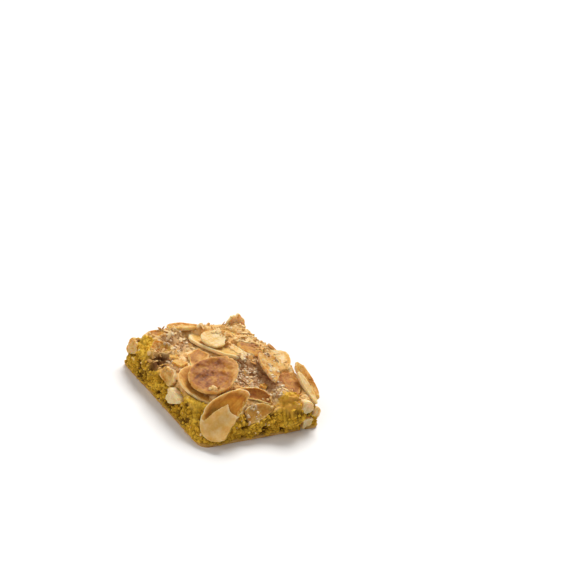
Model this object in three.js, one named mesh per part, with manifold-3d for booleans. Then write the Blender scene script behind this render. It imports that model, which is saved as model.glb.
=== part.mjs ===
// Almond biscuit: a square-cut slab of crumbly dough, baked under sugar and sliced almonds.
// Millimetres, +Z up. The origin is the middle of the flat base. +X runs along the front cut
// face, and +Y goes from the front face to the back one.

import * as THREE from 'three';
import { ImprovedNoise } from 'three/addons/math/ImprovedNoise.js';
import { mergeVertices } from 'three/addons/utils/BufferGeometryUtils.js';
import Module from 'manifold-3d';

const wasm = await Module();
wasm.setup();
const noise = new ImprovedNoise();

// Driving dimensions of the dough slab
const LENGTH_X = 50;
const LENGTH_Y = 53;
const CRUST_HEIGHT = 11.6;

// The faces were cut by hand, so each leans in by its own amount at the top.
const LEAN_IN = { left: -0.4, right: 1.8, front: 0.3, back: 0.6 };

// Plan radius of each upright corner, at the base and at the crust
const CORNERS = {
  frontLeft: { base: 3.4, top: 8.5 },
  frontRight: { base: 1.6, top: 6.0 },
  backRight: { base: 2.6, top: 5.0 },
  backLeft: { base: 1.6, top: 3.2 },
};

// How far the crust falls at each edge, and over what width
const SHOULDERS = {
  left: { drop: 2.2, width: 5.0 },
  right: { drop: 2.2, width: 6.0 },
  front: { drop: 4.2, width: 8.5 },
  back: { drop: 0.9, width: 4.0 },
};

// Swells and hollows of the crust: a rise at a place, over a radius
const SWELLS = [
  { x: 4.5, y: -8.0, rise: -1.0, radius: 7.0 },
  { x: -9.0, y: 18.0, rise: -0.4, radius: 6.0 },
  { x: -21.8, y: 11.3, rise: -2.8, radius: 3.2 },
  { x: -21.0, y: 22.0, rise: 0.9, radius: 3.2 },
  { x: 11.2, y: -23.0, rise: 2.4, radius: 4.2 },
  { x: 4.0, y: 13.0, rise: 0.5, radius: 8.0 },
  { x: 20.0, y: 0.0, rise: 0.6, radius: 6.0 },
  { x: 22.5, y: -7.5, rise: 1.4, radius: 3.4 },
  { x: -13.0, y: -8.0, rise: 0.7, radius: 7.0 },
  { x: 19.6, y: 22.6, rise: 1.5, radius: 3.6 },
];

// Bulges of the cut faces: a push outwards about a place, over a radius
const BULGES = [
  { x: 11.2, y: -26.5, z: 8.2, push: 1.8, radius: 4.8 },
  { x: -25.0, y: 16.0, z: 6.0, push: 0.5, radius: 5.0 },
  { x: 24.0, y: 8.0, z: 6.0, push: 0.6, radius: 6.0 },
  { x: -4.0, y: 26.5, z: 6.0, push: 0.6, radius: 6.0 },
];

// How far the front left corner is bevelled below the slice that lies on it
const BEVEL_SLICE = 'slice_front_corner';
const BEVEL_UNDER = 0.3;

// Crumb relief: height and spacing of the lumps, and the level of the noise they are read at
const CRUMB = { height: 0.75, spacing: 2.6 };
const CRUST_LUMPS = { height: 0.55, spacing: 4.2, level: 0.5 };
const FACE_WAVE = { height: 0.5, spacing: 14, level: 7.5 };
const SIDE_POWER = 10;
const BASE_FADE = 0.18;

// Mesh steps of the slab, and of one slice of almond
const SLAB_STEPS = { x: 28, y: 30, z: 8 };
const SLICE_STEPS = { around: 16, rings: 5 };
const CHIP_STEPS = { around: 8, rings: 4 };

// Sliced almonds: thickness, how much of it is left at the rim, how far the outline narrows to its
// pointed end, and the room left in the dough around a slice and above it
const SLICE_THICK = 1.15;
const RIM_SHARE = 0.7;
const RIM_START = 0.9;
const TAPER = 0.24;
const CLEARANCE = 0.45;
const CLEAR_ABOVE = 4;

// Every slice: its middle, the way its pointed end heads, how far it leans and to which side
// (plan angles in degrees), its size, how its sides cup and its ends bow, and where it is broken
// off, as an angle in its own outline and a reach from its middle.
const SLICES = [
  { name: 'slice_front_corner', at: [-15.3, -23.0, 9.9], heading: 20, lean: 45, toward: 228,
    size: [21.5, 12.8], cup: 0.9, bow: 0.4, breaks: [[-75, 3.9]] },
  { name: 'slice_toasted_top', at: [-11.5, -7.6, 15.0], heading: 25, lean: 10, toward: 227,
    size: [22.4, 15.0], cup: 0.7, bow: 0.5, breaks: [] },
  { name: 'slice_pale_under', at: [-17.2, -8.7, 12.1], heading: 276, lean: 13, toward: 240,
    size: [18.5, 13.4], cup: 0.7, bow: 0.3, breaks: [] },
  { name: 'slice_front_strip', at: [-1.4, -18.5, 12.05], heading: 154, lean: 33, toward: 262,
    size: [14.6, 6.0], cup: 0.3, bow: -0.8, breaks: [[90, 1.6]] },
  { name: 'slice_front_glazed', at: [-1.5, -24.3, 7.8], heading: 7, lean: 42, toward: 266,
    size: [15.0, 8.4], cup: 0.2, bow: -0.3, breaks: [[180, 5.5], [-69, 1.8], [-85, 1.4]] },
  { name: 'slice_shard', at: [12.9, -6.6, 14.3], heading: 245, lean: 6, toward: 20,
    size: [21.5, 6.8], cup: 0.3, bow: 0.2, breaks: [[180, 8.6]] },
  { name: 'slice_right_back', at: [20.6, -2.0, 12.1], heading: -119, lean: 4, toward: 200,
    size: [17.0, 9.2], cup: 0.4, bow: 0.2, breaks: [[180, 6.8], [0, 5.5]] },
  { name: 'slice_pale_back', at: [2.6, 14.0, 14.4], heading: 20, lean: 5, toward: 250,
    size: [11.5, 9.0], cup: 0.3, bow: 0.3, breaks: [[-55, 3.9]] },
  { name: 'slice_ridge', at: [3.2, 12.0, 12.0], heading: -60, lean: 7, toward: 55,
    size: [24.0, 12.6], cup: 0.7, bow: 0.2, breaks: [] },
  { name: 'slice_mid_right', at: [17.0, 7.2, 12.3], heading: -57, lean: 2, toward: 215,
    size: [15.0, 9.4], cup: 0.1, bow: 0.1, breaks: [[0, 3.1]] },
  { name: 'slice_back_right', at: [13.4, 20.9, 11.2], heading: 142, lean: 6, toward: 40,
    size: [16.0, 9.0], cup: 0.4, bow: 0.3, breaks: [] },
  { name: 'slice_shoulder_outer', at: [24.8, -14.6, 11.6], heading: -82, lean: 25, toward: 286,
    size: [15.5, 5.0], cup: 0.2, bow: 0.2, breaks: [] },
  { name: 'slice_shoulder_inner', at: [21.7, -18.8, 11.9], heading: -82, lean: 25, toward: 286,
    size: [13.5, 2.8], cup: 0.1, bow: 0.2, breaks: [] },
  { name: 'slice_right_flat', at: [17.4, -13.4, 11.2], heading: -105, lean: 6, toward: 240,
    size: [16.0, 8.6], cup: 0.4, bow: 0.2, breaks: [[90, 3.6], [180, 5.0]] },
  { name: 'slice_orange', at: [-9.6, 7.0, 12.8], heading: 34, lean: 10, toward: 235,
    size: [15.0, 9.0], cup: 0.4, bow: 0.2, breaks: [[73, 2.3], [-8, 4.2], [127, 2.7]] },
  { name: 'slice_back_edge', at: [-4.0, 24.8, 13.2], heading: -12, lean: 7, toward: 100,
    size: [13.0, 4.6], cup: 0.4, bow: 0.3, breaks: [[180, 6.0]] },
  { name: 'slice_back_left', at: [-15.2, 24.0, 12.0], heading: 160, lean: 8, toward: 130,
    size: [8.5, 5.0], cup: 0.3, bow: 0.2, breaks: [[0, 3.4]] },
  { name: 'slice_back_peak', at: [19.8, 25.0, 11.3], heading: 90, lean: 78, toward: 262,
    size: [9.5, 8.0], cup: 0.3, bow: 0.2, breaks: [[0, 4.1]] },
  { name: 'slice_left_bits', at: [-18.6, 15.6, 12.0], heading: -44, lean: 20, toward: 225,
    size: [8.5, 5.0], cup: 0.3, bow: 0.2, breaks: [[180, 3.6]] },
];

// Thick pieces of almond that were baked into the dough and cut through with it
const CHUNKS = [
  { name: 'chunk_left_corner', at: [-23.6, 24.8, 7.9], heading: 46, lean: 70, toward: 210,
    size: [6.6, 4.8], thick: 2.6, breaks: [[180, 2.6]] },
  { name: 'chunk_left_upper', at: [-23.7, 0.9, 10.7], heading: -104, lean: 60, toward: 195,
    size: [7.6, 5.2], thick: 2.2, breaks: [[0, 4.2]] },
  { name: 'chunk_left_face', at: [-24.7, -6.4, 7.4], heading: -72, lean: 84, toward: 180,
    size: [8.6, 5.6], thick: 2.6, breaks: [[180, 3.8], [60, 2.6]] },
  { name: 'chunk_front_upper', at: [17.6, -25.2, 9.1], heading: -25, lean: 80, toward: 268,
    size: [6.6, 4.8], thick: 2.4, breaks: [[0, 2.6]] },
  { name: 'chunk_front_lower', at: [19.1, -25.4, 2.9], heading: 10, lean: 86, toward: 270,
    size: [5.6, 4.4], thick: 2.4, breaks: [[180, 2.2]] },
];

// Chips too small to count as pieces of their own, fused into the slab: a face to lie on, a place
// along it and up it, and a size
const CHIP_THICK = 1.5;
const CHIP_BREAK = 0.3;
const CHIP_LEAN = { side: 84, top: 8 };
const CHIPS = [
  { face: 'back', along: -14, up: 6.0, size: [8.5, 4.6], turn: 30 },
  { face: 'back', along: 3, up: 4.6, size: [7.0, 4.2], turn: -50 },
  { face: 'back', along: 13, up: 8.0, size: [9.0, 4.8], turn: 75 },
  { face: 'right', along: -10, up: 4.2, size: [6.5, 4.0], turn: 20 },
  { face: 'right', along: 2, up: 7.4, size: [9.0, 4.4], turn: -35 },
  { face: 'right', along: 16, up: 5.4, size: [7.5, 4.6], turn: 60 },
  { face: 'front', along: 21.9, up: 7.0, size: [4.4, 2.8], turn: 80 },
  { face: 'top', along: -17, up: 5.6, size: [7.0, 4.4], turn: 110 },
  { face: 'top', along: 6, up: -14, size: [5.0, 2.6], turn: 30 },
  { face: 'top', along: -17, up: 9, size: [6.0, 3.4], turn: 70 },
];

const ROUGHNESS = { dough: 0.9, almond: 0.6 };
const COLOURS = {
  dough: 0xb4923a,
  pale: 0xe2cc96,
  golden: 0xcf9a55,
  toasted: 0xa8734a,
};
const TOASTED = new Set(['slice_toasted_top', 'slice_right_flat', 'slice_mid_right']);
const PALE = new Set(['slice_pale_under', 'slice_pale_back', 'slice_front_corner']);

const radians = THREE.MathUtils.degToRad;
const smooth = (low, high, value) => THREE.MathUtils.smoothstep(value, low, high);

// The corner whose quarter of the slab holds a point
function cornerAt(u, v) {
  if (v < 0) return u < 0 ? CORNERS.frontLeft : CORNERS.frontRight;
  return u < 0 ? CORNERS.backLeft : CORNERS.backRight;
}

// Moves a point of a rectangle inwards, so that a square corner becomes a round one
function roundedCorner(x, y, halfX, halfY, radius) {
  const past = [Math.abs(x) - (halfX - radius), Math.abs(y) - (halfY - radius)];
  if (past[0] <= 0 || past[1] <= 0) return [x, y];
  const share = Math.max(...past) / Math.hypot(...past);
  return [
    Math.sign(x) * (halfX - radius + past[0] * share),
    Math.sign(y) * (halfY - radius + past[1] * share),
  ];
}

// Drop of the crust at one edge, for a distance in from that edge
function shoulderDrop({ drop, width }, inside) {
  return drop * Math.max(0, 1 - inside / width) ** 2;
}

// Height of the bevel under the slice on the front left corner: a plane that follows the slice
function bevelHeight(x, y) {
  const slice = SLICES.find(({ name }) => name === BEVEL_SLICE);
  const normal = new THREE.Vector3(0, 0, 1).applyQuaternion(sliceTurn(slice));
  const rise = normal.x * (x - slice.at[0]) + normal.y * (y - slice.at[1]);
  return slice.at[2] - rise / normal.z - BEVEL_UNDER;
}

// A smooth hump of height 1 at the middle that fades out past its radius
function hump(distance, radius) {
  return Math.exp(-((distance / radius) ** 2));
}

// Height of the crust over a point of the plan
function crustHeight(x, y) {
  const swell = SWELLS.reduce(
    (sum, s) => sum + s.rise * hump(Math.hypot(x - s.x, y - s.y), s.radius), 0);
  const { height, spacing, level } = CRUST_LUMPS;
  const lumps = height * noise.noise(x / spacing, y / spacing, level);
  const crust = CRUST_HEIGHT + swell + lumps
    - shoulderDrop(SHOULDERS.left, LENGTH_X / 2 + x)
    - shoulderDrop(SHOULDERS.right, LENGTH_X / 2 - x)
    - shoulderDrop(SHOULDERS.front, LENGTH_Y / 2 + y)
    - shoulderDrop(SHOULDERS.back, LENGTH_Y / 2 - y);
  return Math.min(crust, bevelHeight(x, y));
}

// A point of the slab from u and v, each -1 to 1 across the base, and w, 0 at the base to 1 at
// the crust
function slabPoint(u, v, w) {
  const halfX = LENGTH_X / 2;
  const halfY = LENGTH_Y / 2;
  const corner = cornerAt(u, v);
  const radius = THREE.MathUtils.lerp(corner.base, corner.top, w);
  let [x, y] = roundedCorner(u * halfX, v * halfY, halfX, halfY, radius);
  x *= 1 - w * (x < 0 ? LEAN_IN.left : LEAN_IN.right) / halfX;
  y *= 1 - w * (y < 0 ? LEAN_IN.front : LEAN_IN.back) / halfY;
  const z = w * crustHeight(x, y);

  const atSide = Math.max(Math.abs(u), Math.abs(v)) ** SIDE_POWER;
  const crumb = CRUMB.height * smooth(0, BASE_FADE, w)
    * noise.noise(x / CRUMB.spacing, y / CRUMB.spacing, z / CRUMB.spacing);
  const wave = FACE_WAVE.height
    * noise.noise(x / FACE_WAVE.spacing, y / FACE_WAVE.spacing, FACE_WAVE.level);
  const bulge = BULGES.reduce(
    (sum, b) => sum + b.push * hump(Math.hypot(x - b.x, y - b.y, z - b.z), b.radius), 0);
  const push = atSide * (crumb + wave + bulge) / Math.max(Math.hypot(x, y), 1);
  return [x * (1 + push), y * (1 + push), z];
}

// Leaves only the shared positions of a geometry, as a closed mesh needs
function weld(geometry) {
  geometry.deleteAttribute('normal');
  geometry.deleteAttribute('uv');
  return mergeVertices(geometry);
}

// A box whose every vertex goes to its place on the slab
function slabGeometry() {
  const box = weld(new THREE.BoxGeometry(2, 2, 1, SLAB_STEPS.x, SLAB_STEPS.y, SLAB_STEPS.z));
  const place = box.attributes.position;
  for (let i = 0; i < place.count; i++) {
    place.setXYZ(i, ...slabPoint(place.getX(i), place.getY(i), place.getZ(i) + 0.5));
  }
  return box;
}

// Outline of an almond slice: an oval drawn to a point at one end, cut back at its breaks
function sliceOutline(angle, { size, breaks }, grow) {
  let x = (size[0] / 2 + grow) * Math.cos(angle);
  let y = (size[1] / 2 + grow) * Math.sin(angle) * (1 - TAPER * Math.cos(angle));
  for (const [turn, reach] of breaks) {
    const out = x * Math.cos(radians(turn)) + y * Math.sin(radians(turn));
    const share = Math.min(1, (reach + grow) / Math.max(out, 1e-6));
    x *= share;
    y *= share;
  }
  return [x, y];
}

// A flattened sphere: its rings become the faces of the slice, and its poles the middles of them.
// grow makes the slice larger all round, and above makes its upper side higher.
function sliceGeometry(slice, steps = SLICE_STEPS, grow = 0, above = 0) {
  const ball = weld(new THREE.SphereGeometry(1, steps.around, steps.rings).rotateX(Math.PI / 2));
  const place = ball.attributes.position;
  const widest = Math.sin(Math.PI * Math.floor(steps.rings / 2) / steps.rings);
  const thick = slice.thick ?? SLICE_THICK;
  for (let i = 0; i < place.count; i++) {
    const [x, y, z] = [place.getX(i), place.getY(i), place.getZ(i)];
    const share = Math.min(1, Math.hypot(x, y) / widest);
    const [edgeX, edgeY] = sliceOutline(Math.atan2(y, x), slice, grow);
    const rim = share > RIM_START ? RIM_SHARE : 1;
    const bend = (slice.cup ?? 0) * (2 * share * edgeY / slice.size[1]) ** 2
      + (slice.bow ?? 0) * (2 * share * edgeX / slice.size[0]) ** 2;
    const side = Math.sign(Math.round(z * 100));
    const height = side * (thick / 2 * rim + grow) + (side > 0 ? above : 0);
    place.setXYZ(i, share * edgeX, share * edgeY, bend + height);
  }
  return ball;
}

// Turns a slice to its heading, then leans it towards one side
function sliceTurn({ heading, lean, toward }) {
  const side = radians(toward);
  const leanAxis = new THREE.Vector3(-Math.sin(side), Math.cos(side), 0);
  const turn = new THREE.Quaternion().setFromAxisAngle(new THREE.Vector3(0, 0, 1), radians(heading));
  return new THREE.Quaternion().setFromAxisAngle(leanAxis, radians(lean)).multiply(turn);
}

// A geometry as a solid that can be joined and cut
function solidOf(geometry) {
  return new wasm.Manifold(new wasm.Mesh({
    numProp: 3,
    vertProperties: new Float32Array(geometry.attributes.position.array),
    triVerts: new Uint32Array(geometry.index.array),
  }));
}

function geometryOf(solid) {
  const mesh = solid.getMesh();
  return new THREE.BufferGeometry()
    .setAttribute('position', new THREE.BufferAttribute(mesh.vertProperties, 3))
    .setIndex(new THREE.BufferAttribute(mesh.triVerts, 1));
}

// The room that a slice needs in the slab: the slice grown by its clearance, where it lies, and
// nothing left above it
function roomFor(slice) {
  const above = CLEAR_ABOVE * Math.cos(radians(slice.lean)) ** 2;
  const place = new THREE.Matrix4().compose(
    new THREE.Vector3(...slice.at), sliceTurn(slice), new THREE.Vector3(1, 1, 1));
  return solidOf(sliceGeometry(slice, SLICE_STEPS, CLEARANCE, above).applyMatrix4(place));
}

// Where a chip sits, and which way its flat side faces
function chipPlace({ face, along, up, turn }) {
  const sides = {
    right: { at: [LENGTH_X / 2 - LEAN_IN.right / 2, along, up], toward: 0 },
    front: { at: [along, -LENGTH_Y / 2, up], toward: 270 },
    back: { at: [along, LENGTH_Y / 2 - LEAN_IN.back / 2, up], toward: 90 },
    top: { at: [along, up, crustHeight(along, up) + CHIP_THICK / 4], toward: turn },
  };
  const { at, toward } = sides[face];
  const lean = face === 'top' ? CHIP_LEAN.top : CHIP_LEAN.side;
  return new THREE.Matrix4().compose(
    new THREE.Vector3(...at), sliceTurn({ heading: turn, lean, toward }), new THREE.Vector3(1, 1, 1));
}

function chipSolid(chip) {
  const shape = { size: chip.size, thick: CHIP_THICK, breaks: [[180, chip.size[0] * CHIP_BREAK]] };
  return solidOf(sliceGeometry(shape, CHIP_STEPS).applyMatrix4(chipPlace(chip)));
}

// The slab with its chips fused on and a bed cut for every slice and chunk. Scraps that the cuts
// leave loose are dropped.
function doughGeometry() {
  const fused = CHIPS.reduce((solid, chip) => solid.add(chipSolid(chip)), solidOf(slabGeometry()));
  const cut = [...SLICES, ...CHUNKS].reduce((solid, slice) => solid.subtract(roomFor(slice)), fused);
  const bodies = cut.decompose().sort((a, b) => b.volume() - a.volume());
  return geometryOf(bodies[0]);
}

function material(colour, roughness) {
  return new THREE.MeshStandardMaterial({ color: colour, roughness, metalness: 0 });
}

function sliceColour(name) {
  if (TOASTED.has(name)) return COLOURS.toasted;
  return PALE.has(name) || name.startsWith('chunk') ? COLOURS.pale : COLOURS.golden;
}

const biscuit = new THREE.Group();

const dough = new THREE.Mesh(doughGeometry(), material(COLOURS.dough, ROUGHNESS.dough));
dough.name = 'dough';
biscuit.add(dough);

const topping = new THREE.Group();
for (const slice of [...SLICES, ...CHUNKS]) {
  const mesh = new THREE.Mesh(sliceGeometry(slice), material(sliceColour(slice.name), ROUGHNESS.almond));
  mesh.name = slice.name;
  mesh.position.set(...slice.at);
  mesh.quaternion.copy(sliceTurn(slice));
  topping.add(mesh);
}
biscuit.add(topping);

export default biscuit;
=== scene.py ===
"""Looks of an almond biscuit: crumbly dough, a sugared crust and sliced almonds.

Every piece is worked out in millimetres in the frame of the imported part, with the base on z = 0, and goes
into its mesh in metres. Angles are in degrees, and those in plan go from +X towards +Y.
"""

from types import SimpleNamespace

import bpy
import numpy as np
from mathutils import Matrix, Vector


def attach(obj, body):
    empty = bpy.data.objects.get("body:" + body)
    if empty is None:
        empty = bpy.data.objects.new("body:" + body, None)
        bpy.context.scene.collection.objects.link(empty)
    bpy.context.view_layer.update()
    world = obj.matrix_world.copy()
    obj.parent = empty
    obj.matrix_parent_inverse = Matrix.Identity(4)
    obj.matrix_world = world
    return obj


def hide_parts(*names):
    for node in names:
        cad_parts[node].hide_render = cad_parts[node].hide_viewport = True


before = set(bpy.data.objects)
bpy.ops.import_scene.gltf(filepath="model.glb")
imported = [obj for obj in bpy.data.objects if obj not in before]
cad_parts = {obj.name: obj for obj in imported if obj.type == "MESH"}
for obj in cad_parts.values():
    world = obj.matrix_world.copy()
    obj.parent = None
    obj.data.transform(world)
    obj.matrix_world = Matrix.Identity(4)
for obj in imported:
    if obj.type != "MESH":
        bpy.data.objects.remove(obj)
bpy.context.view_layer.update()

bl_info = {
    "name": "Almond biscuit",
    "version": (1, 0, 0),
    "blender": (4, 5, 0),
    "location": "View3D > Sidebar > Biscuit",
    "description": "Builds the crumb, crust, almonds and sugar of a square-cut almond biscuit",
    "category": "Object",
}

MM = 0.001

# Dough slab, as in the part's solids. A corner has its radius at the base and at the crust, and a shoulder
# its drop and its width
LENGTH_X = 50.0
LENGTH_Y = 53.0
CRUST_HEIGHT = 11.6
LEAN_IN = {"left": -0.4, "right": 1.8, "front": 0.3, "back": 0.6}
CORNERS = {
    "front_left": (3.4, 8.5),
    "front_right": (1.6, 6.0),
    "back_right": (2.6, 5.0),
    "back_left": (1.6, 3.2),
}
SHOULDERS = {"left": (2.2, 5.0), "right": (2.2, 6.0), "front": (4.2, 8.5), "back": (0.9, 4.0)}

# Swells and hollows of the crust: x, y, rise, radius
SWELLS = [
    (4.5, -8.0, -1.0, 7.0),
    (-9.0, 18.0, -0.4, 6.0),
    (-21.8, 11.3, -2.8, 3.2),
    (-21.0, 22.0, 0.9, 3.2),
    (11.2, -23.0, 2.4, 4.2),
    (4.0, 13.0, 0.5, 8.0),
    (20.0, 0.0, 0.6, 6.0),
    (22.5, -7.5, 1.4, 3.4),
    (-13.0, -8.0, 0.7, 7.0),
    (19.6, 22.6, 1.5, 3.6),
]

# Bulges of the cut faces: x, y, z, push, radius. A high power keeps them to the faces
BULGES = [
    (11.2, -26.5, 8.2, 1.8, 4.8),
    (-25.0, 16.0, 6.0, 0.5, 5.0),
    (24.0, 8.0, 6.0, 0.6, 6.0),
    (-4.0, 26.5, 6.0, 0.6, 6.0),
]
SIDE_POWER = 10

# How far the dough stays under the slice on the front left corner
BEVEL_UNDER = 0.3

# Sliced almonds: thickness, how far the outline narrows to its pointed end, and the rise of the rim
SLICE_THICK = 1.15
TAPER = 0.24
RIM_RISE = 0.22

# What an almond is like where its own entry says nothing. size is its length and width, and breaks are the
# angles in its outline and the distances at which it is broken off. cup and bow are how far it curls across
# and along. Toast goes from 0, pale, to 1, dark, in the middle of its face and at its rim. mottle is how
# blotchy it is, relief the height of its blisters where they don't follow the mottle, pink how dull the
# brown, glaze how much sugar has melted on it, and spots how pale the sugar is that dried on it. fade is an
# angle in its outline towards which it is paler, and by how much. lap is how far in from its rim the crust
# covers it, and side the plan angle that the crust comes from, where it is one side only. dish is how far
# its rim rises above its face, and ragged how uneven the rim is.
SLICE_LOOK = dict(
    thick=SLICE_THICK, cup=0.3, bow=0.2, breaks=[], mottle=0.2, relief=None, pink=0.0, glaze=0.2, spots=0.0,
    fade=(0, 0.0), lap=0.0, side=None, dish=RIM_RISE, ragged=0.045, slot="golden_almond")
CHUNK_LOOK = {**SLICE_LOOK, "cup": 0.0, "bow": 0.0, "lap": 0.18, "slot": "pale_almond"}


def with_look(look, own):
    """Almonds by name, each with the look's values where its own entry gives none."""
    return {name: {**look, **spec} for name, spec in own.items()}


# Slices, placed as in the part's solids: at is the middle, heading the plan angle of the pointed end, and
# lean the angle by which the slice leans toward a plan angle
SLICES = with_look(SLICE_LOOK, {
    "slice_front_corner": dict(
        at=(-15.3, -23.0, 9.9), heading=20, lean=45, toward=228, size=(21.5, 12.8), cup=0.9, bow=0.4,
        breaks=[(-75, 3.9)], face=0.58, rim=0.28, mottle=0.1, glaze=0.1, slot="pale_almond"),
    "slice_toasted_top": dict(
        at=(-11.5, -7.6, 15.0), heading=25, lean=10, toward=227, size=(22.4, 15.0), cup=0.7, bow=0.5,
        face=0.72, rim=0.62, mottle=0.22, pink=0.2, glaze=0.35, fade=(300, 0.2), relief=0.5, spots=0.16,
        slot="toasted_almond"),
    "slice_pale_under": dict(
        at=(-17.2, -8.7, 12.1), heading=276, lean=13, toward=240, size=(18.5, 13.4), cup=0.7, bow=0.3,
        face=0.5, rim=0.36, mottle=0.14, glaze=0.1, slot="pale_almond"),
    "slice_front_strip": dict(
        at=(-1.4, -18.5, 12.05), heading=154, lean=33, toward=262, size=(14.6, 6.0), bow=-0.8,
        breaks=[(90, 1.6)], face=0.7, rim=0.06, mottle=0.12, lap=0.1),
    "slice_front_glazed": dict(
        at=(-1.5, -24.3, 7.8), heading=7, lean=42, toward=266, size=(15.0, 8.4), cup=0.2, bow=-0.3,
        breaks=[(180, 5.5), (-69, 1.8), (-85, 1.4)], face=0.38, rim=0.3, mottle=0.15, glaze=0.6, lap=0.15),
    "slice_shard": dict(
        at=(12.9, -6.6, 14.3), heading=245, lean=6, toward=20, size=(21.5, 6.8), breaks=[(180, 8.6)],
        face=0.38, rim=0.4, mottle=0.3, pink=0.2, glaze=0.9, lap=0.08, spots=0.25),
    "slice_right_back": dict(
        at=(20.6, -2.0, 12.1), heading=-119, lean=4, toward=200, size=(17.0, 9.2), cup=0.4,
        breaks=[(180, 6.8), (0, 5.5)], face=0.26, rim=0.24, mottle=0.26, glaze=0.5, lap=0.6, spots=0.2),
    "slice_pale_back": dict(
        at=(2.6, 14.0, 14.4), heading=20, lean=5, toward=250, size=(11.5, 9.0), bow=0.3,
        breaks=[(-55, 3.9)], face=0.14, rim=0.16, glaze=0.3, lap=0.6, side=50, dish=0.0,
        slot="pale_almond"),
    "slice_ridge": dict(
        at=(3.2, 12.0, 12.0), heading=-60, lean=7, toward=55, size=(24.0, 12.6), cup=0.7, face=0.3,
        rim=0.0, mottle=0.12, lap=0.85, side=20),
    "slice_mid_right": dict(
        at=(17.0, 7.2, 12.3), heading=-57, lean=2, toward=215, size=(15.0, 9.4), cup=0.1, bow=0.1,
        breaks=[(0, 3.1)], face=0.56, rim=0.4, mottle=0.24, glaze=0.4, lap=0.9, side=40,
        slot="toasted_almond"),
    "slice_back_right": dict(
        at=(13.4, 20.9, 11.2), heading=142, lean=6, toward=40, size=(16.0, 9.0), cup=0.4, bow=0.3,
        face=0.42, rim=0.46, mottle=0.18, glaze=0.4, lap=0.95),
    "slice_shoulder_outer": dict(
        at=(24.8, -14.6, 11.6), heading=-82, lean=25, toward=286, size=(15.5, 5.0), cup=0.2, face=0.4,
        rim=0.38, mottle=0.24, ragged=0.07),
    "slice_shoulder_inner": dict(
        at=(21.7, -18.8, 11.9), heading=-82, lean=25, toward=286, size=(13.5, 2.8), cup=0.1, face=0.1,
        rim=0.04, mottle=0.16),
    "slice_right_flat": dict(
        at=(17.4, -13.4, 11.2), heading=-105, lean=6, toward=240, size=(16.0, 8.6), cup=0.4,
        breaks=[(90, 3.6), (180, 5.0)], face=0.6, rim=0.5, lap=0.4, side=170, slot="toasted_almond"),
    "slice_orange": dict(
        at=(-9.6, 7.0, 12.8), heading=34, lean=10, toward=235, size=(15.0, 9.0), cup=0.4,
        breaks=[(73, 2.3), (-8, 4.2), (127, 2.7)], face=0.48, rim=0.28, mottle=0.14, glaze=0.4, dish=0.1),
    "slice_back_edge": dict(
        at=(-4.0, 24.8, 13.2), heading=-12, lean=7, toward=100, size=(13.0, 4.6), cup=0.4, bow=0.3,
        breaks=[(180, 6.0)], face=0.4, rim=0.34, mottle=0.26, glaze=0.3, lap=0.4, side=270),
    "slice_back_left": dict(
        at=(-15.2, 24.0, 12.0), heading=160, lean=8, toward=130, size=(8.5, 5.0), breaks=[(0, 3.4)],
        face=0.5, rim=0.42, glaze=0.5, lap=0.6),
    "slice_back_peak": dict(
        at=(19.8, 25.0, 11.3), heading=90, lean=78, toward=262, size=(9.5, 8.0), breaks=[(0, 4.1)],
        face=0.1, rim=0.16, mottle=0.16, ragged=0.22),
    "slice_left_bits": dict(
        at=(-18.6, 15.6, 12.0), heading=-44, lean=20, toward=225, size=(8.5, 5.0), breaks=[(180, 3.6)],
        face=0.52, rim=0.4, glaze=0.4, lap=0.5),
})

# Thick pieces of almond that were baked into the dough and cut through with it
CHUNKS = with_look(CHUNK_LOOK, {
    "chunk_left_corner": dict(
        at=(-23.6, 24.8, 7.9), heading=46, lean=70, toward=210, size=(6.6, 4.8), thick=2.6,
        breaks=[(180, 2.6)], face=0.15, rim=0.3, mottle=0.12),
    "chunk_left_upper": dict(
        at=(-23.7, 0.9, 10.7), heading=-104, lean=60, toward=195, size=(7.6, 5.2), thick=2.2,
        breaks=[(0, 4.2)], face=0.3, rim=0.32, glaze=0.5),
    "chunk_left_face": dict(
        at=(-24.7, -6.4, 7.4), heading=-72, lean=84, toward=180, size=(8.6, 5.6), thick=2.6,
        breaks=[(180, 3.8), (60, 2.6)], face=0.0, rim=0.1, mottle=0.12, glaze=0.3),
    "chunk_front_upper": dict(
        at=(17.6, -25.2, 9.1), heading=-25, lean=80, toward=268, size=(6.6, 4.8), thick=2.4,
        breaks=[(0, 2.6)], face=0.0, rim=0.06, mottle=0.1, lap=0.3),
    "chunk_front_lower": dict(
        at=(19.1, -25.4, 2.9), heading=10, lean=86, toward=270, size=(5.6, 4.4), thick=2.4,
        breaks=[(180, 2.2)], face=0.0, rim=0.1, mottle=0.1),
})
ALMONDS = {**SLICES, **CHUNKS}

# Small chips on the slab: face, place along it, height up it or, on top, place in y, size and turn. One end
# is broken off at a share of the length, and a chip leans almost upright on a cut face and lies almost flat
# on top
CHIP_THICK = 1.5
CHIP_BREAK = 0.3
CHIP_UPRIGHT = 84
CHIP_FLAT = 8
CHIP_TOAST = {"top": 0.3, "front": 0.1, "right": 0.1, "back": 0.1}
CHIPS = [
    ("back", -14, 6.0, (8.5, 4.6), 30),
    ("back", 3, 4.6, (7.0, 4.2), -50),
    ("back", 13, 8.0, (9.0, 4.8), 75),
    ("right", -10, 4.2, (6.5, 4.0), 20),
    ("right", 2, 7.4, (9.0, 4.4), -35),
    ("right", 16, 5.4, (7.5, 4.6), 60),
    ("front", 21.9, 7.0, (4.4, 2.8), 80),
    ("top", -17.2, 4.8, (7.0, 4.4), 110),
    ("top", 6, -14, (5.0, 2.6), 30),
    ("top", -17, 9.8, (6.0, 3.4), 70),
]

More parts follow.
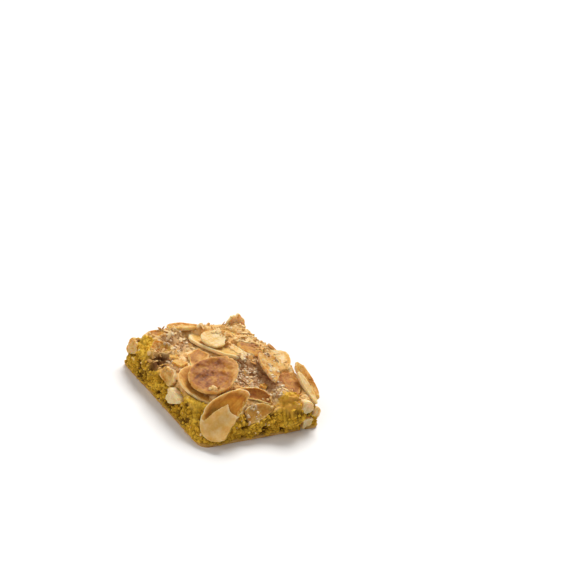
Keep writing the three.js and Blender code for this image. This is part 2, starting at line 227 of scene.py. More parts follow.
# Surface of an almond: how crisp the rim is, how ragged a break is, the raggedness up to which the rim's
# waves are long, the depth of its notches, the height of a face's warp and ribs and, for a mottle of 1, of
# its blisters, to how many flat sides and how far a thick piece is cut, and from which thickness and how
# high it is lumpy
RIM_POWER = 40
BREAK_RAGGED = 0.35
FINE_RAGGED = 0.06
NOTCH = 0.05
WARP_HEIGHT = 0.16
RIB_HEIGHT = 0.03
BLISTER_HEIGHT = 1.6
FACETS = 5
FACETED = 0.6
LUMPY_FROM = 2.0
LUMP_HEIGHT = 0.6

# Torn edge of the pale layer on the front slice: places across the slice, and how far along it the layer
# goes. Beyond the edge the slice is hollowed to a dish, and the layer has a ridge along its middle
TORN_ACROSS = (-4.0, -1.6, -0.1, 0.8, 1.9, 2.4, 2.9, 3.4, 3.7)
TORN_ALONG = (2.4, 1.6, 1.5, 2.2, 3.0, 1.4, -0.1, -2.5, -7.0)
DISH_DEPTH = 1.0
LAYER_RIDGE = 0.7
RIDGE_WIDTH = 3.4

# Bed of an almond in the dough: the lap from which it counts as baked in, how high the crust laps over it,
# how far outside its outline that falls away and how far the crust is raised at most, how rough the bed is,
# the slopes at which the dough rises again round a baked-in and a loose almond, how far out a slice and a
# chunk press it, as a share of the outline, and up to which height, and the lean from which a slice is
# simply stuck in the dough
BAKED_IN = 0.2
LAP_HEIGHT = 0.3
DRAPE_FALL = 2.6
DRAPE_MOST = 3.0
BED_ROUGH = 0.35
LAP_SLOPE = 3.0
BED_SLOPE = 1.2
SLICE_REACH = 1.6
CHUNK_REACH = 1.3
BED_ABOVE = 9.0
UPRIGHT = 60

# Zones of the dough: the spacing of their ragged edges, and then pairs of numbers, at the first of which a
# zone's share begins and at the second of which it is full
EDGE_RAGGED = 3.0
CRUST_FACING = (0.5, 0.8)
CRUST_FROM = (8.4, 10.2)
CRUMB_FROM = (0.05, 0.7)
PITS_FROM = (0.4, 2.2)
BASE_EDGE = (0.4, 1.4)
RELIEF_FROM = (0.0, 0.5)

# Beds of brown melted sugar on the crust: x, y, radius along x, radius along y, turn, and how thick the
# sugar lies. Their edges are soft by a share of the radius
SUGAR_BEDS = [
    (5.5, -8.0, 8.0, 12.0, 12, 1.0),
    (-10.5, 18.5, 7.0, 5.5, 0, 0.65),
    (11.0, -16.0, 6.0, 5.0, 0, 0.9),
    (-17.5, 4.0, 4.0, 5.0, 0, 0.6),
    (13.0, 1.0, 6.0, 4.0, 0, 0.8),
]
SUGAR_SOFT = 0.25

# Places on the crust that baked away to bare crumb: x, y, radius
BARE_CRUMB = [(-23.0, 20.5, 6.5), (11.0, -24.5, 5.6), (-20.0, -18.0, 8.0)]
BARE_EDGE = (0.6, 1.1)

# The dark hollow at the left edge: x, y, radius. Its dark colour is painted shade in the deep hollow
DARK_HOLLOW = (-21.8, 10.6, 4.3)
SHADED_HOLLOW_EDGE = (0.4, 1.1)
SHADED_HOLLOW_FROM = (6.2, 8.0)

# Lobe of dough that overhangs the front face, the recess below it, and the browned skin on top of it, which
# lies to the right of its middle, behind the front face, and whose grains stand out once more
LOBE_X = 10.0
LOBE_Z = 8.6
LOBE_RADIUS = 5.4
LOBE_OUT = 1.7
RECESS_DEPTH = 0.5
RECESS_AT = 1.12
RECESS_WIDTH = 0.16
SKIN_RIGHT = 1.2
SKIN_BEHIND = 1.5
SKIN_DEEP = 3.5
SKIN_GRAINS = 0.8
SKIN_EDGE = (0.7, 1.1)
SKIN_FROM = (8.0, 10.2)

# Texture of the dough: how far and how finely the grains are warped, the fine grains as a share of the
# coarse ones, how wide the cracks between grains are, and the noise at which pits begin and are full
GRAIN_WARP = 0.35
WARP_SPACING = 1.1
FINE_GRAIN = 0.55
CRACK_WIDTH = 0.22
FINE_CRACK_WIDTH = 0.2
PIT_EDGE = (0.18, 0.62)

# Crumbs and flakes that lie in heaps: the piece they lie on, place, radius, number, size of a crumb, and
# how much of the brown crust is in them
DRIFTS = [
    ("almond_slice_front_corner", (-8.6, -24.2, 13.6), 1.3, 8, 0.36, 0.6),
    ("almond_slice_front_corner", (-10.6, -26.0, 11.4), 1.2, 8, 0.36, 0.4),
    ("almond_slice_toasted_top", (-16.8, -14.4, 13.4), 1.4, 14, 0.7, 1.0),
    ("almond_slice_pale_under", (-16.4, -15.6, 12.6), 1.8, 9, 0.7, 1.0),
    ("almond_slice_front_strip", (4.4, -20.6, 11.8), 1.8, 8, 0.45, 1.0),
    ("almond_slice_front_glazed", (-3.6, -22.6, 9.4), 1.3, 4, 0.5, 1.0),
    ("almond_slice_front_glazed", (5.4, -22.4, 10.0), 1.4, 8, 0.45, 0.6),
    ("almond_slice_shoulder_outer", (26.2, -16.5, 11.6), 4.5, 12, 0.35, 1.0),
    ("almond_slice_back_edge", (-8.0, 24.8, 13.6), 3.0, 10, 0.4, 1.0),
    ("almond_slice_pale_back", (6.4, 16.4, 14.8), 2.2, 10, 0.4, 1.0),
    ("almond_slice_mid_right", (18.0, 8.0, 13.0), 3.5, 10, 0.45, 1.0),
    ("almond_slice_left_bits", (-18.6, 15.0, 12.6), 2.4, 10, 0.5, 1.0),
    ("almond_slice_back_peak", (19.8, 24.6, 12.4), 2.4, 8, 0.4, 1.0),
    ("almond_chunk_left_upper", (-24.4, 3.6, 12.6), 1.6, 9, 0.5, 1.0),
    ("dough_crumb", (-21.6, 13.6, 11.0), 1.8, 14, 0.55, 1.0),
    ("dough_crumb", (-23.0, 9.6, 9.6), 1.6, 6, 0.45, 0.7),
]

# Loose crumbs, bits of crust and flakes: middle radius, how far a radius strays from it and its limits as
# shares of it, how far a lump is stretched and how rough it is, which share of the crumbs are bits of
# almond, and the heights between which crumbs begin to lie
CRUMB_RADIUS = 0.32
BIT_RADIUS = 0.37
FLAKE_RADIUS = 0.72
RADIUS_SPREAD = 0.38
RADIUS_LIMITS = (0.45, 2.3)
LUMP_STRETCH = (0.45, 1.35)
LUMP_ROUGH = 0.36
FLAKE_ROUGH = 0.22
ALMOND_CRUMBS = 0.03
CRUMBS_FROM = (0.8, 2.0)

# Flakes on the crust and in the heaps: how far they tip, their thickness as a share of the radius, and the
# two shape numbers of the spread of their brown
CRUST_FLAKE = dict(tilt=0.3, thick=0.2)
DRIFT_FLAKE = dict(tilt=0.4, thick=0.35, brown=(1.8, 1.4))

# Sugar grains: radius with its spread and limits, how far a grain is stretched, how flat and rough it is
# and how far it tips, the share that stayed clear and how stained those are, the two shape numbers of the
# spread of the stain of the rest, how far the syrup stains the sugar on the slices, and the glaze from
# which a slice carries sugar
SUGAR_RADIUS = 0.55
SUGAR_SPREAD = 0.3
SUGAR_LIMITS = (0.3, 0.9)
SUGAR_STRETCH = (0.75, 1.25)
SUGAR_FLAT = 0.35
SUGAR_ROUGH = 0.28
SUGAR_TILT = 0.35
CLEAR_SUGAR = 0.1
CLEAR_STAIN = 0.1
SUGAR_STAIN = (2.2, 1.0)
SLICE_STAIN = 0.5
SUGARED_FROM = 0.6

# Seeds of the slices' and chips' shapes and of the scattered pieces
SLICE_SEED = 100
CHIP_SEED = 200
CRUMB_SEED = 7
SUGAR_SEED = 19

# Stage: half the floor's side, its rows of points and its gap under the base, the brightness of the room,
# the lights with the direction they come from, their spread and their strength, and the camera's place and
# its turns about X, Y and Z
FLOOR_HALF = 4000.0
FLOOR_ROWS = 9
FLOOR_GAP = 0.02
ROOM_LIGHT = 0.28
LIGHTS = {
    "key": ((0.45, 0.48, 0.75), 34, 3.2),
    "fill": ((-0.8, -0.08, 0.6), 50, 0.8),
}
CAMERA_AT = (-288.633, -328.649, 266.491)
CAMERA_TURN = (62.4841, -14.3556, -35.2817)
LENS = 90.1
SENSOR_WIDTH = 36
CLIP_START = 10.0


def linear(hex_colour):
    """sRGB hex colour as linear red, green, blue and alpha 1."""
    srgb = np.array([int(hex_colour[i:i + 2], 16) for i in (1, 3, 5)]) / 255
    low = srgb / 12.92
    high = ((srgb + 0.055) / 1.055) ** 2.4
    return (*np.where(srgb <= 0.04045, low, high), 1.0)


# Noise. In every call below, the number after the spacing in millimetres is the seed

def smoothstep(low, high, value):
    """0 below low, 1 above high, and a smooth S curve between them."""
    share = np.clip((value - low) / (high - low), 0, 1)
    return share * share * (3 - 2 * share)


def lattice_value(cells, seed):
    """Even random value of 0 to 1 for each whole-number cell: its three numbers are multiplied by large
    odd factors, added, and mixed by shifts."""
    mixed = cells[..., 0] * 374761393 + cells[..., 1] * 668265263
    mixed = mixed + cells[..., 2] * 1440662683 + seed * 974634777
    mixed = (mixed ^ (mixed >> 13)) * 1274126177
    mixed = (mixed ^ (mixed >> 16)) * 2246822519
    return ((mixed ^ (mixed >> 15)) & 0xFFFFFF) / 0xFFFFFF


def smooth_noise(points, spacing, seed):
    """Noise of -1 to 1: the values of the eight lattice corners round a point, blended by smoothsteps of
    its place between them."""
    scaled = points / spacing
    low = np.floor(scaled)
    share = smoothstep(0, 1, scaled - low)
    low = low.astype(np.int64)
    total = np.zeros(len(points))
    for corner in np.ndindex(2, 2, 2):
        weight = np.where(np.array(corner), share, 1 - share).prod(axis=1)
        total += weight * lattice_value(low + np.array(corner), seed)
    return 2 * total - 1


def rough_noise(points, spacing, seed, octaves=3):
    """Noise of about -1 to 1 with finer detail: each octave has half the spacing and half the height, and
    their mean is raised by 1.4."""
    heights = [0.5 ** k for k in range(octaves)]
    layers = [smooth_noise(points, spacing * h, seed + k) * h for k, h in enumerate(heights)]
    return sum(layers) / sum(heights) * 1.4


def granules(points, spacing, seed):
    """Rounded grains: one random point lies in each lattice cell. Gives the distance to the nearest and to
    the second nearest, as shares of the spacing, the nearest one's random value, and the way from it."""
    scaled = points / spacing
    low = np.floor(scaled).astype(np.int64)
    nearest = np.full(len(points), np.inf)
    second = np.full(len(points), np.inf)
    value = np.zeros(len(points))
    way = np.zeros_like(scaled)
    for step in np.ndindex(3, 3, 3):
        cell = low + np.array(step) - 1
        place = np.stack([lattice_value(cell, seed + k) for k in range(3)], axis=1)
        offset = scaled - cell - place
        distance = np.linalg.norm(offset, axis=1)
        closer = distance < nearest
        second = np.where(closer, nearest, np.minimum(second, distance))
        value = np.where(closer, lattice_value(cell, seed + 3), value)
        way = np.where(closer[:, None], offset, way)
        nearest = np.minimum(nearest, distance)
    return nearest, second, value, way


def flakes(points, spacing, seed):
    """Loose flakes: every grain of the plan view is a plate at its own height and with its own tilt, with a
    gap round it. Gives the height of -1 to 1 and the flake's random value."""
    nearest, second, value, way = granules(points * (1, 1, 0), spacing, seed)
    side = value * 97
    height = 1.2 * (value - 0.5) + 0.9 * (way[:, 0] * np.cos(side) + way[:, 1] * np.sin(side))
    return height - 0.6 * (1 - smoothstep(0, 0.16, second - nearest)), value


# Meshes

def make_piece(name, points, faces, material, attributes=None, smooth=True):
    """Piece from points in millimetres, a list of face arrays, each of one size, and named point values."""
    mesh = bpy.data.meshes.new(name)
    mesh.vertices.add(len(points))
    mesh.vertices.foreach_set("co", (points * MM).astype(np.float32).ravel())
    corners = np.concatenate([np.asarray(f).ravel() for f in faces]).astype(np.int32)
    sizes = np.concatenate([np.full(len(f), np.shape(f)[1]) for f in faces])
    mesh.loops.add(len(corners))
    mesh.loops.foreach_set("vertex_index", corners)
    mesh.polygons.add(len(sizes))
    mesh.polygons.foreach_set("loop_start", (np.cumsum(sizes) - sizes).astype(np.int32))
    mesh.polygons.foreach_set("use_smooth", np.full(len(sizes), smooth))
    for key, values in (attributes or {}).items():
        layer = mesh.attributes.new(key, "FLOAT", "POINT")
        layer.data.foreach_set("value", values.astype(np.float32))
    mesh.update(calc_edges=True)
    mesh.materials.append(material)
    piece = bpy.data.objects.new(name, mesh)
    bpy.context.scene.collection.objects.link(piece)
    return piece


def seat(piece, slot, *nodes):
    """The piece rides on the biscuit and stands for the given solids, whose own meshes are hidden. The slot
    is not used.
    """
    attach(piece, "root")
    if nodes:
        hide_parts(*nodes)


def grid_quads(rows, columns, closed):
    """Quads between neighbouring rows of points; closed joins the last column to the first."""
    row, column = np.meshgrid(np.arange(rows - 1), np.arange(columns - (not closed)), indexing="ij")
    beside = (column + 1) % columns
    corners = [row * columns + column, row * columns + beside,
               (row + 1) * columns + beside, (row + 1) * columns + column]
    return np.stack(corners, axis=-1).reshape(-1, 4)


def point_normals(points, quads):
    """Unit normal at each point: the sum of the normals of the quads round it."""
    a, b, c, d = (points[quads[:, k]] for k in range(4))
    flat = np.cross(c - a, d - b)
    total = np.zeros_like(points)
    for k in range(4):
        np.add.at(total, quads[:, k], flat)
    return total / np.maximum(np.linalg.norm(total, axis=1, keepdims=True), 1e-9)


# Places of the almonds

def turn_of(spec):
    """Rotation that turns an almond to its heading and then leans it towards one side."""
    side = np.radians(spec["toward"])
    lean = Matrix.Rotation(np.radians(spec["lean"]), 3, (-np.sin(side), np.cos(side), 0))
    return np.array(lean @ Matrix.Rotation(np.radians(spec["heading"]), 3, "Z"))


def face_normal(spec):
    """Direction in which the upper face of an almond looks."""
    return turn_of(spec)[:, 2]


def distance_along(x, y, angle):
    """How far a point lies out in the direction of an angle: x times its cosine plus y times its sine."""
    return x * np.cos(np.radians(angle)) + y * np.sin(np.radians(angle))


def slice_outline(angle, spec, ragged):
    """Outline of an almond: an oval of half length times cosine and half width times sine, narrowed towards
    its pointed end, and scaled back where it passes a break. ragged is added to the reach of the breaks."""
    long, wide = spec["size"]
    x = long / 2 * np.cos(angle)
    y = wide / 2 * np.sin(angle) * (1 - TAPER * np.cos(angle))
    for turn, reach in spec["breaks"]:
        share = np.minimum(1, (reach + ragged) / np.maximum(distance_along(x, y, turn), 1e-6))
        x, y = x * share, y * share
    return x, y


def slice_bend(x, y, spec):
    """How an almond curls: its cup times the square of the share of its half width, and its bow times that
    of its half length."""
    return spec["cup"] * (2 * y / spec["size"][1]) ** 2 + spec["bow"] * (2 * x / spec["size"][0]) ** 2


def bend_under(local, spec):
    """The bend of an almond at points in its frame, taken no further out than its length and width."""
    half = np.array(spec["size"]) / 2
    x, y = np.clip(local[:, :2], -half, half).T
    return slice_bend(x, y, spec)


def in_slice(points, spec):
    """Points in an almond's own frame, and each one's share of the way from its middle to its outline."""
    local = (points - np.array(spec["at"])) @ turn_of(spec)
    half = np.array(spec["size"]) / 2
    along = np.clip(local[:, 0] / half[0], -1, 1)
    share = np.hypot(local[:, 0] / half[0], local[:, 1] / (half[1] * (1 - TAPER * along)))
    for turn, reach in spec["breaks"]:
        share = np.maximum(share, distance_along(local[:, 0], local[:, 1], turn) / reach)
    return local, share


def lap_of(points, spec):
    """How far in from its rim the crust laps over an almond at each point."""
    if spec["side"] is None:
        return np.full(len(points), spec["lap"])
    angle = np.arctan2(points[:, 1] - spec["at"][1], points[:, 0] - spec["at"][0])
    return spec["lap"] * smoothstep(-0.35, 0.55, np.cos(angle - np.radians(spec["side"])))


def drape_crust(points, crust):
    """Raises the crust round the slices that are baked in to just above their faces, and lets it fall away
    again outside their outlines."""
    for spec in SLICES.values():
        if spec["lap"] >= BAKED_IN:
            local, share = in_slice(points, spec)
            face = bend_under(local, spec) + spec["thick"] / 2 + LAP_HEIGHT
            fall = 1 + DRAPE_FALL / (min(spec["size"]) / 2)
            lift = np.clip(face - local[:, 2], 0, DRAPE_MOST) * (1 - smoothstep(1.0, fall, share)) * crust
            lift = lift * smoothstep(0.3 * BAKED_IN, BAKED_IN, lap_of(points, spec))
            points = points + lift[:, None] * face_normal(spec)
    return points


def press_beds(points, gap):
    """Pushes the dough down to the underside of every slice that lies and every chunk, along its normal.
    The dough rises again at a slope from a ragged line, which lies inside the outline where the crust laps
    over the rim."""
    ragged = rough_noise(points, 2.4, 401)
    domes = np.clip(1 - 1.6 * granules(points, 1.0, 402)[0] ** 2, 0, 1)
    uneven = 1 - domes + 0.5 * rough_noise(points, 0.8, 406)
    lying = [spec for spec in SLICES.values() if spec["lean"] < UPRIGHT]
    for spec in [*lying, *CHUNKS.values()]:
        local, share = in_slice(points, spec)
        reach = CHUNK_REACH if spec["thick"] > SLICE_THICK else SLICE_REACH
        lap = lap_of(points, spec)
        inner = 1 - lap * np.clip(0.85 + 0.5 * ragged, 0.3, 1.3)
        slope = np.where(lap >= BAKED_IN, LAP_SLOPE, BED_SLOPE)
        floor = bend_under(local, spec) - spec["thick"] / 2 - gap
        floor = floor + np.maximum(share - inner, 0) * (min(spec["size"]) / 2) * slope - BED_ROUGH * uneven
        pressed = (share < reach) & (local[:, 2] < BED_ABOVE)
        over = np.where(pressed, np.maximum(local[:, 2] - floor, 0), 0)
        points = points - over[:, None] * face_normal(spec)
    return points


# Dough

def slab_points(u, v, w):
    """Point of the plain slab for u and v, -1 to 1 across the base, and w, 0 at the base to 1 at the crust:
    a box whose corners are rounded, whose sides lean in and bulge, and whose top follows the crust."""
    half_x, half_y = LENGTH_X / 2, LENGTH_Y / 2
    left, front = u < 0, v < 0
    radius = np.select(
        [left & front, ~left & front, ~left & ~front, left & ~front],
        [base + (top - base) * w for base, top in CORNERS.values()])
    x, y = u * half_x, v * half_y
    past_x, past_y = np.abs(x) - (half_x - radius), np.abs(y) - (half_y - radius)
    corner = (past_x > 0) & (past_y > 0)
    share = np.where(corner, np.maximum(past_x, past_y) / np.maximum(np.hypot(past_x, past_y), 1e-9), 1)
    x = np.where(corner, np.sign(x) * (half_x - radius + past_x * share), x)
    y = np.where(corner, np.sign(y) * (half_y - radius + past_y * share), y)
    x = x * (1 - w * np.where(x < 0, LEAN_IN["left"], LEAN_IN["right"]) / half_x)
    y = y * (1 - w * np.where(y < 0, LEAN_IN["front"], LEAN_IN["back"]) / half_y)
    points = np.stack([x, y, w * crust_height(x, y)], axis=1)

    push = np.zeros_like(x)
    for *middle, out, reach in BULGES:
        push += out * np.exp(-np.sum((points - middle) ** 2, axis=1) / reach ** 2)
    push *= np.maximum(np.abs(u), np.abs(v)) ** SIDE_POWER / np.maximum(np.hypot(x, y), 1)
    points[:, :2] *= 1 + push[:, None]
    return points


def crust_height(x, y):
    """Height of the crust: the middle height, plus smooth swells and hollows, less a square-law drop near
    each edge, and never above the bevel under the slice on the front left corner."""
    height = np.full_like(x, CRUST_HEIGHT)
    for middle_x, middle_y, rise, radius in SWELLS:
        height += rise * np.exp(-((x - middle_x) ** 2 + (y - middle_y) ** 2) / radius ** 2)
    inside = {
        "left": LENGTH_X / 2 + x,
        "right": LENGTH_X / 2 - x,
        "front": LENGTH_Y / 2 + y,
        "back": LENGTH_Y / 2 - y,
    }
    for side, (drop, width) in SHOULDERS.items():
        height -= drop * np.maximum(0, 1 - inside[side] / width) ** 2
    spec = SLICES["slice_front_corner"]
    normal = face_normal(spec)
    rise = normal[0] * (x - spec["at"][0]) + normal[1] * (y - spec["at"][1])
    return np.minimum(height, spec["at"][2] - rise / normal[2] - BEVEL_UNDER)


def slab_grid(step):
    """Points u, v, w of a closed box and its faces: a grid over the top, rows down the sides that start at
    the top's edge, and one face for the flat base."""
    across, deep, high = (int(round(s / step)) for s in (LENGTH_X, LENGTH_Y, CRUST_HEIGHT))
    v, u = np.meshgrid(np.linspace(-1, 1, deep + 1), np.linspace(-1, 1, across + 1), indexing="ij")
    top = np.stack([u.ravel(), v.ravel(), np.ones(u.size)], axis=1)
    index = np.arange(u.size).reshape(u.shape)
    rim = np.concatenate([index[0, :-1], index[:-1, -1], index[-1, :0:-1], index[:0:-1, 0]])
    rows = np.linspace(1, 0, high + 1)[1:]
    sides = np.concatenate([np.column_stack([top[rim, :2], np.full(len(rim), w)]) for w in rows])
    rings = np.concatenate([rim, u.size + np.arange(len(sides))])
    down = grid_quads(high + 1, len(rim), True)[:, ::-1]
    quads = np.concatenate([grid_quads(deep + 1, across + 1, False), rings[down]])
    base = rings[-len(rim):][None, ::-1]
    return np.concatenate([top, sides]), quads, base


def ellipse_mask(points, ellipses, soft):
    """The strength of an ellipse inside it and 0 outside, with a soft edge along the outline."""
    mask = np.zeros(len(points))
    for x, y, radius_x, radius_y, turn, strength in ellipses:
        dx, dy = points[:, 0] - x, points[:, 1] - y
        along = distance_along(dx, dy, turn) / radius_x
        across = distance_along(dy, -dx, turn) / radius_y
        mask = np.maximum(mask, strength * (1 - smoothstep(1 - soft, 1 + soft, np.hypot(along, across))))
    return mask


def dough_zones(plain, normal):
    """What the dough is at each point, as shares of 0 to 1. The crust lies where the slab looks up and is
    high, except where it baked away to bare crumb, which paler marks for a painted highlight. Sugar lies in
    beds on it, one hollow is painted dark as shade, and the rest is crumb. All edges follow one ragged
    noise."""
    x, y, z = plain.T
    ragged = rough_noise(plain, EDGE_RAGGED, 11)
    crust = smoothstep(*CRUST_FACING, normal[:, 2] + 0.15 * ragged) * smoothstep(*CRUST_FROM, z + ragged)
    # paler is a painted highlight: the bare crumb is drawn paler there, as if strongly lit
    paler = np.zeros(len(plain))
    for bare_x, bare_y, radius in BARE_CRUMB:
        bare = 1 - smoothstep(*BARE_EDGE, np.hypot(x - bare_x, y - bare_y) / radius + 0.3 * ragged)
        paler = np.maximum(paler, bare * crust)
        crust *= 1 - bare
    hollow_x, hollow_y, hollow_radius = DARK_HOLLOW
    hollow = np.hypot(x - hollow_x, y - hollow_y) / hollow_radius
    lobe = lobe_zones(plain, normal, ragged)
    low = smoothstep(*CRUMB_FROM, z)
    return SimpleNamespace(
        ragged=ragged,
        crust=crust,
        paler=paler,
        sugar=crust * ellipse_mask(plain + 1.5 * ragged[:, None], SUGAR_BEDS, SUGAR_SOFT),
        shaded_hollow=(1 - smoothstep(*SHADED_HOLLOW_EDGE, hollow + 0.5 * ragged)) * smoothstep(*SHADED_HOLLOW_FROM, z),
        crumb=(1 - crust) * low * (1 - 0.2 * lobe["skin"]),
        base=1 - low,
        **lobe)


def lobe_zones(plain, normal, ragged):
    """Shares of the lobe on the front face. With r the way out from its middle as a share of its radius,
    the lobe is the root of 1 - r**4, and the recess is a bell curve just outside it, below and to the
    right. The skin is an ellipse on top, and near_lobe is the face that is denser round it."""
    x, y, z = plain.T
    on_front = np.clip(-normal[:, 1], 0, 1) * (y < 0)
    out = np.hypot(x - LOBE_X, z - LOBE_Z) / LOBE_RADIUS + 0.08 * ragged
    below = smoothstep(0.0, 0.4, (x - LOBE_X) - (z - LOBE_Z))
    skin = np.hypot((x - LOBE_X - SKIN_RIGHT) / LOBE_RADIUS, (y + LENGTH_Y / 2 - SKIN_BEHIND) / SKIN_DEEP)
    return dict(
        lobe=on_front * np.clip(1 - out ** 4, 0, 1) ** 0.5,
        recess=on_front * below * np.exp(-((out - RECESS_AT) / RECESS_WIDTH) ** 2),
        near_lobe=on_front * (1 - smoothstep(1.0, 1.4, out)),
        skin=(1 - smoothstep(*SKIN_EDGE, skin)) * smoothstep(*SKIN_FROM, z + 0.8 * ragged))


def dough_texture(plain, zones, sizes):
    """Texture of the dough in a slightly warped space: domes of coarse and fine grains and of sugar lumps,
    each a height less the square of the way from its middle, the random values of each, the cracks between
    grains, clumps of grains, pits, flakes and the lumps of the dark hollow."""
    warp = np.stack([smooth_noise(plain, WARP_SPACING, 20 + k) for k in range(3)], axis=1)
    warped = plain + GRAIN_WARP * warp
    near, second, grain_value, _ = granules(warped, sizes.grain, 31)
    fine_near, fine_second, fine_value, _ = granules(warped, sizes.grain * FINE_GRAIN, 41)
    bed_near, _, bed_value, _ = granules(warped, sizes.sugar_lump, 81)
    flake, flake_value = flakes(warped, sizes.flake, 71)
    pits = smoothstep(*PIT_EDGE, rough_noise(warped, sizes.pit, 51, 2)) * (1 - 0.8 * zones.near_lobe)
    fine_dome = 0.45 - fine_near ** 2
    return SimpleNamespace(
        dome=0.5 - near ** 2,
        fine_dome=fine_dome,
        bed_dome=0.5 - bed_near ** 2,
        grains=0.62 - near ** 2 + 0.35 * fine_dome,
        grain_value=grain_value,
        fine_value=fine_value,
        bed_value=bed_value,
        flake_value=flake_value,
        cracks=1 - smoothstep(0, CRACK_WIDTH, second - near),
        fine_cracks=1 - smoothstep(0, FINE_CRACK_WIDTH, fine_second - fine_near),
        clump=rough_noise(warped, sizes.clump, 65, 2),
        pits=pits * smoothstep(*PITS_FROM, plain[:, 2]),
        flake=flake,
        hollow_lumps=rough_noise(warped, 2.0, 84))


def dough_push(plain, zones, texture, sizes):
    """How far the dough stands out from the plain slab: each zone's share times the sum of its own relief,
    and none at the base."""
    crumb = sizes.grain_height * texture.grains - sizes.pit_depth * texture.pits
    crumb += sizes.clump_height * texture.clump
    crumb += 0.35 * rough_noise(plain, 5.0, 61, 2)
    crust = 0.3 * rough_noise(plain, 3.2, 72) + 0.3 * texture.fine_dome + 0.2 * texture.dome
    crust += (1 - 0.6 * zones.sugar) * sizes.flake_height * texture.flake
    shaded_hollow = 0.2 + 0.9 * texture.dome + 0.5 * texture.hollow_lumps
    skin = 0.35 * rough_noise(plain, 1.6, 85) + 0.3 * texture.fine_dome
    push = zones.crumb * crumb + zones.crust * crust + zones.sugar * 0.7 * texture.bed_dome
    push += zones.shaded_hollow * shaded_hollow + zones.skin * skin
    push += LOBE_OUT * zones.lobe - RECESS_DEPTH * zones.recess
    push += 0.05 * zones.base * rough_noise(plain, 0.8, 91)
    return push * smoothstep(*RELIEF_FROM, plain[:, 2])


def dough_values(plain, zones, texture):
    """Named values of 0 to 1 at each point, which the dough's colours follow: weighted sums of the zones
    and of the texture."""
    # pit is painted shade: it darkens the crumb's pits, cracks and gaps between grains, where shade falls,
    # and the lobe's skin gives way to it
    pit = np.clip(0.75 * texture.pits + 0.65 * texture.cracks + 0.15 * texture.fine_cracks, 0, 1)
    skin = np.clip(0.5 + 0.6 * texture.grain_value, 0, 0.9) * (1 - 0.9 * pit)
    # grain is partly the crumb's own uneven tone and partly a painted highlight, paler where the clumps
    # stand out
    grain = 0.15 + 0.35 * texture.grain_value + 0.3 * texture.fine_value + 0.5 * texture.clump
    brown = 0.12 + 0.22 * texture.flake_value + 0.25 * texture.fine_value
    brown = brown + 0.3 * rough_noise(plain, 4.5, 95)
    return {
        "crust": zones.crust,
        "skin": zones.skin * skin,
        "sugar": zones.sugar,
        # Painted light: crumb marked paler gets half the painted shade in its pits and a paler grain colour
        "pit": pit * zones.crumb * (1 - 0.5 * zones.paler),
        "grain": np.clip(grain + 0.7 * zones.paler, 0, 1),
        "bed_grain": texture.bed_value,
        "shaded_hollow": zones.shaded_hollow,
        "brown": np.clip(brown, 0, 1),
        "base_edge": 1 - smoothstep(*BASE_EDGE, plain[:, 2] + 0.4 * zones.ragged),
    }


def dough_surface(sizes):
    """The dough: the plain slab pushed out and in along its normals, with the crust draped over the slices
    that are baked in, a bed pressed by every almond, and the grains of the lobe's skin on top of that. Gives
    points, faces and named values."""
    grid, quads, base = slab_grid(sizes.step)
    plain = slab_points(*grid.T)
    normal = point_normals(plain, quads)
    zones = dough_zones(plain, normal)
    texture = dough_texture(plain, zones, sizes)
    points = plain + dough_push(plain, zones, texture, sizes)[:, None] * normal
    points = drape_crust(points, zones.crust)
    points[:, 2] += zones.crust * sizes.crust_grain * rough_noise(plain, 0.9, 93)
    points = press_beds(points, sizes.bed_gap)
    points += (SKIN_GRAINS * zones.skin * texture.grains)[:, None] * normal
    points[:, 2] = np.maximum(points[:, 2], 0)
    return points, [quads, base], dough_values(plain, zones, texture)


# Almonds

def slice_rim(spec, seed, around):
    """Rim of an almond: its outline, scaled in and out by noise round it, with a few notches. A piece that
    is thicker than a slice is partly cut to a polygon, whose reach is the cosine of half a side's angle
    over that of the angle from the side's middle."""
    angle = np.linspace(0, 2 * np.pi, around, endpoint=False)
    circle = np.stack([np.cos(angle), np.sin(angle), np.full(around, seed * 7.3)], axis=1)
    x, y = slice_outline(angle, spec, BREAK_RAGGED * rough_noise(circle * 4, 1.3, seed))
    spacing = 1.7 if spec["ragged"] < FINE_RAGGED else 0.9
    wobble = 1 + spec["ragged"] * rough_noise(circle * 2.4, spacing, seed + 5)
    wobble = wobble - NOTCH * smoothstep(0.35, 0.75, smooth_noise(circle * 5, 0.9, seed + 7))
    if spec["thick"] > SLICE_THICK:
        half = np.pi / FACETS
        facet = np.cos(half) / np.cos((angle + seed) % (2 * half) - half)
        wobble = wobble * (1 - FACETED + FACETED * facet) + 0.16 * rough_noise(circle * 1.7, 1.3, seed + 6)
    return x * wobble, y * wobble


def slice_relief(spec, flat, share, side, seed):
    """Relief of an almond's faces: blisters that fade towards the rim, fine ribs along it, a rise of the
    upper face's rim, and lumps where it is thick."""
    height = BLISTER_HEIGHT * spec["mottle"] if spec["relief"] is None else spec["relief"]
    blisters = rough_noise(flat, 1.8, seed + 12) + smooth_noise(flat, 3.5, seed + 13)
    relief = height / 2 * blisters * (1 - 0.8 * share ** 8)
    relief = relief + RIB_HEIGHT * smooth_noise(flat * (0.25, 1, 1), 0.4, seed + 14)
    relief = relief + spec["dish"] * smoothstep(0.55, 0.93, share) * (side > 0)
    if spec["thick"] > LUMPY_FROM:
        relief = relief + LUMP_HEIGHT * rough_noise(flat, 2.2, seed + 15)
    return relief


